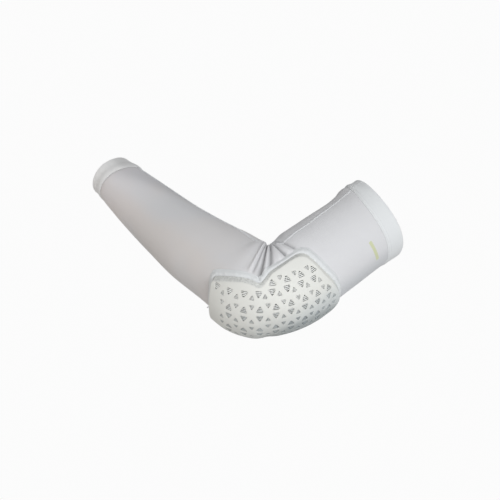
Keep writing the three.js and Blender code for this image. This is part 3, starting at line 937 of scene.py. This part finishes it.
def make_pad_body():
    """The pad without its vents: rings that follow its outline down the bevel, filled in between."""
    rings = [OUTLINE - OUTWARDS * (BEVEL_WIDTH * share)[:, None] for share in BEVEL_STATIONS]
    middle = hex_places(FACE_SPACING, OUTLINE.min(axis=0), OUTLINE.max(axis=0))
    depth, width = inside_depth(middle)
    middle = middle[depth > BEVEL_STATIONS[-1] * width + FACE_SPACING / 2]
    flat = np.concatenate([*rings, middle])
    share = np.concatenate([
        np.repeat(BEVEL_STATIONS, OUTLINE_POINTS),
        np.full(len(middle), BEVEL_STATIONS[-1]),
    ])
    round_ring = [(i, (i + 1) % OUTLINE_POINTS) for i in range(OUTLINE_POINTS)]
    starts = [ring * OUTLINE_POINTS for ring in range(len(rings))]
    edges = [(start + a, start + b) for start in starts for a, b in round_ring]
    made = delaunay_2d_cdt([Vector(p) for p in flat], edges, [], FILL_INSIDE, JOINED_WITHIN)
    origin = [sources[0] for sources in made[3]]
    top = [[origin[i] for i in face] for face in made[2]]
    count = len(flat)
    under = [[i + count for i in reversed(face)] for face in top]
    side = [(a + count, b + count, b, a) for a, b in round_ring]
    face_points = pad_point(flat[:, 0], flat[:, 1], pad_face_lift(flat[:, 0], share))
    under_points = pad_point(flat[:, 0], flat[:, 1], PAD_SEAT)
    points = np.concatenate([face_points, under_points])
    piece = make_piece("elbow_pad_foam", points, top + under + side, PAD_FOAM)
    # The bevel's grey, partly painted shade, is left off at the wide lobe's end
    sloping = 1 - smoothstep(share, *BEVEL_GREY_END)
    sloping[: len(rings) * OUTLINE_POINTS] *= np.tile(1 - AT_WIDE_END, len(rings))
    set_attribute(piece.data, "bevel", "POINT", np.concatenate([sloping, np.ones(count)]))
    return face_outwards(piece)


# The rows and half steps that are tried for vents, how far inside the bevel's top a corner has to stay,
# below 0 for past it, how far the side rows slip along the sleeve and where that sets in, and the plain
# stretch of the narrow lobe: below which place along it and below which place across
VENT_ROWS = range(-6, 4)
VENT_COLUMNS = range(-13, 14)
VENT_MARGIN = -1.0
VENT_SLIP = 5.2
VENT_SLIP_ALONG = (-20, 15)
VENT_SLIP_ACROSS = (32, 39)
VENT_PLAIN_END = -60.0
VENT_PLAIN_BELOW = 30.0
# A triangle's corners as turns about its middle, how far its middle lies from the middle of its row, as a
# share of the row, and how far each way the places lie that a vent's directions are taken from
TRIANGLE_TURNS = np.radians([90, 210, 330])
TRIANGLE_SHIFT = 1 / 6
VENT_DIRECTION_REACH = (2, 2)


def vent_places():
    """The vents on the pad's sheet: in each row large and small triangles take turns, point to point."""
    found = []
    for row in VENT_ROWS:
        for half in VENT_COLUMNS:
            large = half % 2 == 0
            points_up = large == (row % 2 != 0)
            along = VENT_START[0] + half * VENT_PITCH / 2
            bow = VENT_BOW_RISE * math.sin((along - VENT_BOW_FROM) / VENT_BOW_LENGTH * math.pi / 2)
            level = row + (-TRIANGLE_SHIFT if points_up else TRIANGLE_SHIFT)
            across = VENT_START[1] + VENT_ROW_PITCH * level + bow
            slipping = smoothstep(along, *VENT_SLIP_ALONG) * smoothstep(across, *VENT_SLIP_ACROSS)
            along -= VENT_SLIP * float(slipping)
            found.append((along, across, VENT_LARGE if large else VENT_SMALL, 1 if points_up else -1))
    found = np.array(found)
    corners = np.stack([np.cos(TRIANGLE_TURNS), np.sin(TRIANGLE_TURNS)], -1) / math.sqrt(3)
    around = found[:, None, :2] + corners[None] * (found[:, 2] * found[:, 3])[:, None, None]
    depth, width = inside_depth(around.reshape(-1, 2))
    clear = (depth > width + VENT_MARGIN).reshape(-1, 3).all(axis=1)
    at_plain_end = (found[:, 0] < VENT_PLAIN_END) & (found[:, 1] < VENT_PLAIN_BELOW)
    return found[clear & ~at_plain_end]


def make_vent_points():
    """A point for each vent on the pad's face, with its size and the directions that turn it."""
    vents = vent_places()
    along, across, side, points_up = vents.T
    lift = pad_face_lift(along, BEVEL_STATIONS[-1])
    ahead, _, out = surface_axes(pad_point, along, across, PAD_HEIGHT, VENT_DIRECTION_REACH)
    points = make_piece("vent_points", pad_point(along, across, lift), [], PAD_FOAM)
    set_attribute(points.data, "ahead", "POINT", ahead * points_up[:, None])
    set_attribute(points.data, "out", "POINT", out)
    set_attribute(points.data, "side", "POINT", side * MM)
    return points


# Shapes of one vent, for a side of 1: the rounded triangle's corner, the cutter's levels below and
# above the face with how much they grow, how much painted shade darkens its walls between them, and
# the ribs across it
VENT_CORNER = 0.12
VENT_CORNER_STEPS = 5
CUTTER_LEVELS = [(-1.9, 0), (-0.07, 0), (-0.04, 0.006), (-0.015, 0.02), (0.0, 0.04), (0.3, 0.2)]
CUTTER_SHADE = [1.0, 0.7, 0.3, 0.0, 0.0]
RIB_PLACES = [-0.16, 0.04, 0.24]
RIB_RADIUS = 0.062
RIB_DEPTH = 0.12
RIB_SIDES = 8


def rounded_triangle(grow):
    """The outline of a triangle of side 1 with round corners, pointing up, grown by a width."""
    reach = 1 / math.sqrt(3) - 2 * VENT_CORNER
    points = []
    for middle in TRIANGLE_TURNS:
        turns = middle + np.radians(np.linspace(-60, 60, VENT_CORNER_STEPS))
        centre = reach * np.array([math.cos(middle), math.sin(middle)])
        points.append(centre + (VENT_CORNER + grow) * np.stack([np.cos(turns), np.sin(turns)], -1))
    return np.concatenate(points)


def make_vent_cutter():
    """What one vent cuts out of the pad, flared where it meets the face."""
    rings = []
    for height, grow in CUTTER_LEVELS:
        outline = rounded_triangle(grow)
        rings.append(np.column_stack([outline, np.full(len(outline), height)]))
    grid = np.array(rings)
    rows, columns = grid.shape[:2]
    piece = make_piece("vent_cutter", grid / MM, capped_faces(rows, columns), PAD_FOAM)
    shade = np.append(np.repeat(CUTTER_SHADE, columns), [1.0, 0.0])
    set_attribute(piece.data, "vent_wall", "FACE", shade)
    return face_outwards(piece)


def make_vent_ribs_shape():
    """The ribs across one vent, parallel to its base and sunk below the face."""
    points, faces = [], []
    turns = np.linspace(0, 2 * math.pi, RIB_SIDES, endpoint=False)
    for place in RIB_PLACES:
        reach = (1 / math.sqrt(3) - place) / math.sqrt(3)
        start = len(points) * RIB_SIDES
        for end in (-reach, reach):
            across = place + RIB_RADIUS * np.cos(turns)
            height = RIB_RADIUS * np.sin(turns) - RIB_DEPTH
            points.append(np.column_stack([np.full(RIB_SIDES, end), across, height]))
        faces += [[start + i for i in face] for face in capped_faces(2, RIB_SIDES)]
    return face_outwards(make_piece("vent_rib_shape", np.array(points) / MM, faces, RIB_FOAM))


# Geometry node trees


def start_tree(name, inputs):
    """A geometry node tree that takes a geometry and named inputs, its input node and its output node."""
    sockets = {"Geometry": "Geometry", **inputs}
    return new_tree(name, "GeometryNodeTree", sockets, {"Geometry": "Geometry"})


def attribute(tree, name, kind):
    return add_node(tree, "GeometryNodeInputNamedAttribute", {"Name": name}, data_type=kind).outputs[0]


def shape_of(tree, piece):
    return add_node(tree, "GeometryNodeObjectInfo", {"Object": piece}).outputs["Geometry"]


def real_meshes(tree, geometry):
    return add_node(tree, "GeometryNodeRealizeInstances", {"Geometry": geometry}).outputs["Geometry"]


def set_smooth(tree, geometry, smooth=True, selection=True, domain="FACE"):
    """Shades the selected faces or edges smooth, or keeps them crisp."""
    inputs = {"Geometry": geometry, "Selection": selection, "Shade Smooth": smooth}
    return add_node(tree, "GeometryNodeSetShadeSmooth", inputs, domain=domain).outputs["Geometry"]


def turn_onto(tree, ahead):
    """The turn that stands a shape on a surface and points it ahead, by its point's direction outwards."""
    axes = {"Primary Axis": attribute(tree, "out", "FLOAT_VECTOR"), "Secondary Axis": ahead}
    made = add_node(tree, "FunctionNodeAxesToRotation", axes, primary_axis="Z", secondary_axis="X")
    return made.outputs["Rotation"]


def shapes_on_points(tree, points, shape, turn, size):
    inputs = {"Points": points, "Instance": shape, "Rotation": turn, "Scale": size}
    return add_node(tree, "GeometryNodeInstanceOnPoints", inputs).outputs["Instances"]


def vents_on_points(tree, points, shape):
    """A shape on each vent's point, turned to the pad's face and sized for the vent."""
    turn = turn_onto(tree, attribute(tree, "ahead", "FLOAT_VECTOR"))
    return shapes_on_points(tree, points, shape, turn, attribute(tree, "side", "FLOAT"))


def end_tree(tree, geometry, material, result):
    """The last nodes of a tree: real meshes in place of instances, and their material."""
    inputs = {"Geometry": real_meshes(tree, geometry), "Material": material}
    painted = add_node(tree, "GeometryNodeSetMaterial", inputs)
    tree.links.new(painted.outputs["Geometry"], result.inputs["Geometry"])


def vented_pad_tree():
    """Cuts a shape out of the pad at each vent's point, and keeps the cut edges crisp."""
    inputs = {"Vents": "Object", "Cutter": "Object", "Crisp Angle": "Float", "Material": "Material"}
    tree, given, result = start_tree("vented_pad", inputs)
    points = shape_of(tree, given.outputs["Vents"])
    placed = vents_on_points(tree, points, shape_of(tree, given.outputs["Cutter"]))
    meshes = {"Mesh 1": given.outputs["Geometry"], "Mesh 2": real_meshes(tree, placed)}
    cut = add_node(tree, "GeometryNodeMeshBoolean", meshes, operation="DIFFERENCE", solver="MANIFOLD")
    smooth = set_smooth(tree, cut.outputs["Mesh"])
    angle = add_node(tree, "GeometryNodeInputMeshEdgeAngle").outputs["Unsigned Angle"]
    sharp = math_node(tree, "GREATER_THAN", angle, given.outputs["Crisp Angle"])
    crisp = set_smooth(tree, smooth, smooth=False, selection=sharp, domain="EDGE")
    end_tree(tree, crisp, given.outputs["Material"], result)
    return tree


def vent_ribs_tree():
    """Ribs across every vent."""
    tree, given, result = start_tree("vent_ribs", {"Ribs": "Object", "Material": "Material"})
    placed = vents_on_points(tree, given.outputs["Geometry"], shape_of(tree, given.outputs["Ribs"]))
    end_tree(tree, placed, given.outputs["Material"], result)
    return tree


# The faces of one stitch, round its thread and along it
STITCH_SEGMENTS = 8
STITCH_RINGS = 6


def stitch_rows_tree():
    """Stitches of thread along paths: one at each step, leaning to each side in turn."""
    sizes = {name: "Float" for name in ("Step", "Stitch Length", "Thread Radius", "Lean")}
    tree, given, result = start_tree("stitch_rows", {**sizes, "Material": "Material"})
    curve = add_node(tree, "GeometryNodeMeshToCurve", {"Mesh": given.outputs["Geometry"]}).outputs["Curve"]
    spacing = {"Curve": curve, "Length": given.outputs["Step"]}
    steps = add_node(tree, "GeometryNodeCurveToPoints", spacing, mode="LENGTH")
    index = add_node(tree, "GeometryNodeInputIndex").outputs["Index"]
    odd = math_node(tree, "MODULO", index, 2.0)
    sign = math_node(tree, "MULTIPLY_ADD", odd, -2.0, 1.0)
    lean = math_node(tree, "MULTIPLY", sign, given.outputs["Lean"])
    leaning = add_node(tree, "FunctionNodeAxisAngleToRotation", {"Axis": (0, 0, 1), "Angle": lean})
    turns = {"Rotation": turn_onto(tree, steps.outputs["Tangent"]), "Rotate By": leaning.outputs["Rotation"]}
    turned = add_node(tree, "FunctionNodeRotateRotation", turns, rotation_space="LOCAL").outputs["Rotation"]
    ball = {"Segments": STITCH_SEGMENTS, "Rings": STITCH_RINGS, "Radius": 1.0}
    thread = add_node(tree, "GeometryNodeMeshUVSphere", ball).outputs["Mesh"]
    half = math_node(tree, "MULTIPLY", given.outputs["Stitch Length"], 0.5)
    radius = given.outputs["Thread Radius"]
    size = add_node(tree, "ShaderNodeCombineXYZ", {"X": half, "Y": radius, "Z": radius}).outputs["Vector"]
    placed = shapes_on_points(tree, steps.outputs["Points"], thread, turned, size)
    end_tree(tree, set_smooth(tree, placed), given.outputs["Material"], result)
    return tree


def apply_tree(piece, tree, **inputs):
    """Runs a tree on a piece with the given inputs and keeps the result as the piece's plain mesh."""
    modifier = piece.modifiers.new(tree.name, "NODES")
    modifier.node_group = tree
    for item in tree.interface.items_tree:
        label = item.name.replace(" ", "_")
        if item.in_out == "INPUT" and label in inputs:
            modifier[item.identifier] = inputs[label]
    bpy.context.view_layer.update()
    evaluated = piece.evaluated_get(bpy.context.evaluated_depsgraph_get())
    mesh = bpy.data.meshes.new_from_object(evaluated)
    piece.modifiers.remove(modifier)
    old = piece.data
    piece.data = mesh
    mesh.name = piece.name
    bpy.data.meshes.remove(old)
    return piece


# Where two faces of the cut pad meet at more than this angle, the edge is crisp
CRISP_ANGLE = math.radians(32)


def make_pad():
    """The vented pad and the ribs in its vents."""
    body = make_pad_body()
    vents = make_vent_points()
    cutter = make_vent_cutter()
    shape = make_vent_ribs_shape()
    cut = {"Vents": vents, "Cutter": cutter, "Crisp_Angle": CRISP_ANGLE, "Material": PAD_FOAM}
    apply_tree(body, vented_pad_tree(), **cut)
    ribs = apply_tree(vents, vent_ribs_tree(), Ribs=shape, Material=RIB_FOAM)
    ribs.name = "vent_ribs"
    for helper in (cutter, shape):
        bpy.data.objects.remove(helper)
    return body, ribs


# The raised rim round the pad: its profile, from the pad's side outwards and over the knit
RIM_PROFILE = table("out lift", [
    (-0.6, 0.1),
    (-0.5, 1.1),
    (0.1, 1.7),
    (1.0, 2.2),
    (2.2, 2.4),
    (3.4, 2.2),
    (4.6, 1.6),
    (5.6, 0.95),
    (6.6, 0.4),
    (7.3, 0.17),
    (7.8, 0.1),
    (7.8, 0.04),
    (4.0, 0.04),
])
# How much higher the rim stands at the wide lobe's end, and its lumps: how many round it, and their height
RIM_END_RISE = 0.45
RIM_LUMPS = [(41, 0.06), (67, 0.06), (97, 0.04)]
# In the notch the rim reaches only to a share of the notch's own radius, and eases into that in a few rounds
# of small steps. Then the width of the knit across the rim, in millimetres.
RIM_NOTCH_SHARE = 0.75
RIM_EASING_ROUNDS = 6
RIM_EASING_STEP = 0.01
RIM_KNIT_WIDTH = 24
# Where the outline bends less than this, for each millimetre, it counts as straight
STRAIGHT_BEND = 1e-6


def make_rim():
    """The raised rim: a soft welt against the pad that runs out onto the knit."""
    turned = np.roll(OUTWARDS, -1, axis=0) - np.roll(OUTWARDS, 1, axis=0)
    passed = np.roll(OUTLINE, -1, axis=0) - np.roll(OUTLINE, 1, axis=0)
    bending = np.einsum("ij,ij->i", turned, passed) / np.linalg.norm(passed, axis=1) ** 2
    hollow_radius = 1 / np.maximum(-bending, STRAIGHT_BEND)
    reach = np.minimum(1, RIM_NOTCH_SHARE * hollow_radius / RIM_PROFILE["out"].max())
    for _ in range(RIM_EASING_ROUNDS):
        mean = (np.roll(reach, 1) + reach + np.roll(reach, -1)) / 3
        reach = np.minimum(reach, mean + RIM_EASING_STEP)
    out = RIM_PROFILE["out"][None, :] * reach[:, None]
    flat = OUTLINE[:, None, :] + OUTWARDS[:, None, :] * out[..., None]
    around = np.linspace(0, 2 * math.pi, len(OUTLINE), endpoint=False)
    lumps = sum(size * np.sin(count * around) for count, size in RIM_LUMPS)
    fullness = 1 + RIM_END_RISE * AT_WIDE_END + lumps
    grid = pad_point(flat[..., 0], flat[..., 1], RIM_PROFILE["lift"] * fullness[:, None])
    rows, columns = grid.shape[:2]
    piece = make_piece("pad_rim_welt", grid, grid_faces(rows, columns, True), RIM_KNIT)
    set_grid_uv(piece, np.linspace(0, RIM_KNIT_WIDTH, columns + 1), flat[..., 0])
    return face_outwards(piece)


# The inner seam and the stitches

SEAM_PROFILE = table("across lift", [
    (-1, 0.08),
    (-0.95, 0.4),
    (-0.6, 0.75),
    (0, 0.85),
    (0.6, 0.75),
    (0.95, 0.4),
    (1, 0.08),
])
# How far the crease draws the seam down, and over what reach along the sleeve
SEAM_SINK = 3.0
SEAM_SINK_REACH = 20.0


def seam_drop(along):
    """How far the seam is drawn down into the crease, where the knit closes over it."""
    return SEAM_SINK * bell(along, SEAM_SINK_REACH)


def seam_place(along, across):
    """A place on the seam: how far along the knit and at what angle, for a share of its half width."""
    half_angle = SEAM_WIDTH / 2 / smooth_column(GIRTH, "half", along)
    angle = np.radians(smooth_column(SEAM_LINE, "angle", along)) + across * half_angle
    return slanted(along, angle), angle


def make_seam():
    """The flat seam, a low strip that follows its line over the gathers."""
    along = sleeve_places()[1:-1, None]
    place, angle = seam_place(along, SEAM_PROFILE["across"][None, :])
    grid = knit_point(place, angle, SEAM_PROFILE["lift"][None, :] - seam_drop(along))
    rows, columns = grid.shape[:2]
    return face_outwards(make_piece("inner_seam_tape", grid, capped_faces(rows, columns), THREAD))


# Sizes of the stitches: the step from one to the next, the length and the thread's radius in millimetres,
# and how far they lean to each side in turn, in degrees
FLAT_STITCH = (2.4, 2.1, 0.22, 0)
ZIGZAG_STITCH = (1.1, 3.0, 0.2, 62)
TUFT_STITCH = (0.9, 2.2, 0.45, 40)

# Where the rows run. On the seam: shares of its half width, heights off the knit, and how far short of the
# knit's ends they stop. On the bands: shares of the width from the free edge, and heights off the band.
SEAM_COVER_LIFT = 0.86
SEAM_EDGES = (-0.8, 0.8)
SEAM_EDGE_LIFT = 0.56
SEAM_STITCH_INSET = 1
WRIST_OVERLOCK = (0.97, -0.05)
UPPER_HEM_ROWS = [(0.8, 0.05), (0.92, 0.05)]
BAND_PATH_POINTS = 400

# The seam's stitches over the upper band: the share of its width where they start and end, their height off
# it, and how far each row lies beside the seam's line, in millimetres
OVER_BAND_SHARES = (0.98, 0.06)
OVER_BAND_LIFT = 0.05
OVER_BAND_ROWS = (-3, 0, 3)
OVER_BAND_POINTS = 40

# The loose thread's end, on the pad's flat sheet: where it starts, how far it reaches and curls, and its
# height at its start and its tip
LOOSE_THREAD_START = (-78.0, -9.5)
LOOSE_THREAD_REACH = 4.5
LOOSE_THREAD_CURL = 2.5
LOOSE_THREAD_LIFT = (2.0, 5.5)
LOOSE_THREAD_POINTS = 12

# How far each way the places lie that the stitches' directions are taken from: on the knit in millimetres
# along it and in radians round it, and on the pad's sheet in millimetres
KNIT_DIRECTION_REACH = (0.5, 0.01)
PAD_DIRECTION_REACH = (1, 1)

STITCH_ROWS = stitch_rows_tree()


def make_stitches(name, stitch, paths):
    """Rows of one kind of stitch along paths, each with its points and the directions out of the surface."""
    points = np.concatenate([path for path, _ in paths])
    mesh = bpy.data.meshes.new(name)
    starts = np.cumsum([0] + [len(path) for path, _ in paths])
    edges = [(i, i + 1) for a, b in zip(starts[:-1], starts[1:]) for i in range(a, b - 1)]
    mesh.from_pydata((points * MM).tolist(), edges, [])
    set_attribute(mesh, "out", "POINT", np.concatenate([directions for _, directions in paths]))
    piece = bpy.data.objects.new(name, mesh)
    bpy.context.scene.collection.objects.link(piece)
    step, length, radius, lean = stitch
    sizes = {"Step": step * MM, "Stitch_Length": length * MM, "Thread_Radius": radius * MM}
    return apply_tree(piece, STITCH_ROWS, Lean=math.radians(lean), Material=THREAD, **sizes)


def knit_path(along, angle, lift):
    """A path on the knit and the directions out of it."""
    _, _, out = surface_axes(knit_point, along, angle, 0.0, KNIT_DIRECTION_REACH)
    points = knit_point(along, angle, lift)
    centre, _ = sleeve_axis(along)
    outside = np.einsum("ij,ij->i", out, points - centre) > 0
    return points, np.where(outside[:, None], out, -out)


def seam_path(across, lift):
    """A path along the seam, at a share of its half width."""
    along = np.arange(KNIT_START + SEAM_STITCH_INSET, KNIT_END - SEAM_STITCH_INSET, 1.0)
    return knit_path(*seam_place(along, across), lift - seam_drop(along))


def band_path(free, sewn, profile, across, lift):
    """A path round a band, at a share of its width."""
    angle = np.linspace(-math.pi, math.pi, BAND_PATH_POINTS)
    share = np.full_like(angle, across)
    along = band_place(free, sewn, share, angle)
    return knit_path(along, angle, band_lift(profile, share, angle) + lift)


def seam_over_band_path(offset):
    """A short row of stitches that carries the seam on over the upper band."""
    share = np.linspace(*OVER_BAND_SHARES, OVER_BAND_POINTS)
    angle = math.radians(float(SEAM_LINE["angle"][-1])) + np.full_like(share, offset / PAD_ROLL)
    along = band_place(UPPER_FREE, UPPER_SEWN, share, angle)
    return knit_path(along, angle, band_lift(UPPER_PROFILE, share, angle) + OVER_BAND_LIFT)


def loose_thread_path():
    """The end of a thread that stands out at the pad's end, beside the rim."""
    share = np.linspace(0, 1, LOOSE_THREAD_POINTS)
    along = LOOSE_THREAD_START[0] - LOOSE_THREAD_REACH * share
    across = LOOSE_THREAD_START[1] + LOOSE_THREAD_CURL * np.sin(share * math.pi)
    _, _, out = surface_axes(pad_point, along, across, 0.0, PAD_DIRECTION_REACH)
    return pad_point(along, across, lerp(*LOOSE_THREAD_LIFT, share)), out


def make_all_stitches():
    """Every row of stitches on the seam and the bands, and the loose thread's end."""
    wrist = (WRIST_FREE, WRIST_SEWN, WRIST_PROFILE)
    upper = (UPPER_FREE, UPPER_SEWN, UPPER_PROFILE)
    edges = [seam_path(side, SEAM_EDGE_LIFT) for side in SEAM_EDGES]
    over_band = [seam_over_band_path(offset) for offset in OVER_BAND_ROWS]
    hem_rows = [band_path(*upper, *row) for row in UPPER_HEM_ROWS]
    return [
        make_stitches("seam_cover_stitch", ZIGZAG_STITCH, [seam_path(0, SEAM_COVER_LIFT)]),
        make_stitches("seam_edge_stitch", FLAT_STITCH, edges),
        make_stitches("wrist_overlock", ZIGZAG_STITCH, [band_path(*wrist, *WRIST_OVERLOCK)]),
        make_stitches("seam_over_band", FLAT_STITCH, over_band),
        make_stitches("loose_thread", TUFT_STITCH, [loose_thread_path()]),
        make_stitches("upper_hem_stitch", FLAT_STITCH, hem_rows),
    ]


# Building the object

sleeve = make_sleeve()
wrist_band = make_band("wrist_hem_band", WRIST_FREE, WRIST_SEWN, WRIST_PROFILE, WRIST_HEM)
upper_band = make_band("upper_hem_band", UPPER_FREE, UPPER_SEWN, UPPER_PROFILE, UPPER_HEM)
pad, vent_ribs = make_pad()
rim = make_rim()
seam = make_seam()
stitches = make_all_stitches()

for piece, node, slot in (
    (sleeve, "sleeve", "knit"),
    (wrist_band, "wrist_band", "hem_knit"),
    (upper_band, "upper_band", "hem_knit"),
    (pad, "elbow_pad", "pad_foam"),
    (rim, "pad_rim", "rim_knit"),
    (seam, "inner_seam", "seam_thread"),
):
    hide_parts(node)
    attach(piece, "root")
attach(vent_ribs, "root")
for row in stitches:
    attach(row, "root")


# The camera, the floor and the light

# The camera: its bearing, its height as an angle, its distance in metres, the width of what it sees there,
# where it aims beside the elbow, to its right and up in its picture, and its sensor's width in millimetres
VIEW_AZIMUTH = math.radians(-45.1)
VIEW_ELEVATION = math.radians(46.5)
VIEW_DISTANCE = 1.7
VIEW_WIDTH = 0.625
VIEW_AIM = (-0.0216, 0.0558)
SENSOR_WIDTH = 36


def view_axes():
    """The camera's directions: back towards it, to its right and up in its picture."""
    level = math.cos(VIEW_ELEVATION)
    sine, cosine = math.sin(VIEW_AZIMUTH), math.cos(VIEW_AZIMUTH)
    back = Vector((sine * level, -cosine * level, math.sin(VIEW_ELEVATION)))
    right = Vector((cosine, sine, 0))
    return back, right, back.cross(right)


BACK, RIGHT, ABOVE = view_axes()
AIM = RIGHT * VIEW_AIM[0] + ABOVE * VIEW_AIM[1]


def make_camera():
    """The camera, aimed a little beside the elbow."""
    data = bpy.data.cameras.new("camera")
    data.sensor_width = SENSOR_WIDTH
    data.lens = SENSOR_WIDTH * VIEW_DISTANCE / VIEW_WIDTH
    camera = bpy.data.objects.new("camera", data)
    camera.location = BACK * VIEW_DISTANCE
    camera.rotation_euler = (AIM - camera.location).to_track_quat("-Z", "Y").to_euler()
    bpy.context.scene.collection.objects.link(camera)
    bpy.context.scene.camera = camera


# The soft lights: how far each stands towards the camera, to its right and up, and its size, in metres, its
# power in watts and its colour
LIGHTS = {
    "front_light": ((1.7, 0.7, 0.15), 1.1, 25.2, (0.98, 0.99, 1.0)),
    "side_fill": ((0.9, -1.5, -0.6), 1.4, 5.4, (1.0, 0.91, 0.82)),
}


def make_light(name, place, size, power, colour):
    """A soft square light that faces the elbow."""
    data = bpy.data.lights.new(name, "AREA")
    data.color = colour
    data.size = size
    data.energy = power
    light = bpy.data.objects.new(name, data)
    light.location = BACK * place[0] + RIGHT * place[1] + ABOVE * place[2]
    light.rotation_euler = (-light.location).to_track_quat("-Z", "Y").to_euler()
    bpy.context.scene.collection.objects.link(light)


# The floor's depth below the elbow and its reach in metres, its grey where it sends light back, the white
# that the camera sees of it and of the background, and the light from all round, on its bright side and on
# its dim side
FLOOR_DROP = 0.8
FLOOR_REACH = 14
FLOOR_GREY = (0.8, 0.8, 0.8)
SEEN_WHITE = 0.97
STUDIO_BRIGHT = 0.44
STUDIO_DIM = 0.26


def make_floor():
    """A plain pale floor, well below the sleeve, that shows as white paper."""
    mesh = bpy.data.meshes.new("floor")
    corners = [(-1, -1), (1, -1), (1, 1), (-1, 1)]
    points = [(x * FLOOR_REACH, y * FLOOR_REACH, -FLOOR_DROP) for x, y in corners]
    mesh.from_pydata(points, [], [(0, 1, 2, 3)])
    material = bpy.data.materials.new("pale_floor")
    material.use_nodes = True
    tree = material.node_tree
    tree.nodes.remove(tree.nodes["Principled BSDF"])
    paper = add_node(tree, "ShaderNodeBsdfDiffuse", {"Color": (*FLOOR_GREY, 1)})
    glow = add_node(tree, "ShaderNodeEmission", {"Color": (1, 1, 1, 1), "Strength": SEEN_WHITE})
    seen = add_node(tree, "ShaderNodeLightPath").outputs["Is Camera Ray"]
    mix = add_node(tree, "ShaderNodeMixShader", {0: seen, 1: paper.outputs[0], 2: glow.outputs[0]})
    tree.links.new(mix.outputs[0], tree.nodes["Material Output"].inputs["Surface"])
    mesh.materials.append(material)
    floor = bpy.data.objects.new("floor", mesh)
    bpy.context.scene.collection.objects.link(floor)


def make_world():
    """White light from all round, dimmer from the low right, and a white background."""
    world = bpy.data.worlds.new("studio")
    world.use_nodes = True
    tree = world.node_tree
    towards = add_node(tree, "ShaderNodeTexCoord").outputs["Generated"]
    low_right = (RIGHT - ABOVE).normalized()
    aimed = add_node(tree, "ShaderNodeVectorMath", {0: towards, 1: low_right}, operation="DOT_PRODUCT")
    inputs = {
        "Value": aimed.outputs["Value"],
        "From Min": -1.0,
        "From Max": 1.0,
        "To Min": STUDIO_BRIGHT,
        "To Max": STUDIO_DIM,
    }
    light = add_node(tree, "ShaderNodeMapRange", inputs).outputs["Result"]
    seen = add_node(tree, "ShaderNodeLightPath").outputs["Is Camera Ray"]
    mixed = {"Factor": seen, FIRST_NUMBER: light, SECOND_NUMBER: SEEN_WHITE}
    lit = add_node(tree, "ShaderNodeMix", mixed, data_type="FLOAT")
    tree.links.new(lit.outputs[0], tree.nodes["Background"].inputs["Strength"])
    tree.nodes["Background"].inputs["Color"].default_value = (1, 1, 1, 1)
    bpy.context.scene.world = world


make_camera()
make_floor()
make_world()
for name, settings in LIGHTS.items():
    make_light(name, *settings)
bpy.context.scene.view_settings.view_transform = "Standard"
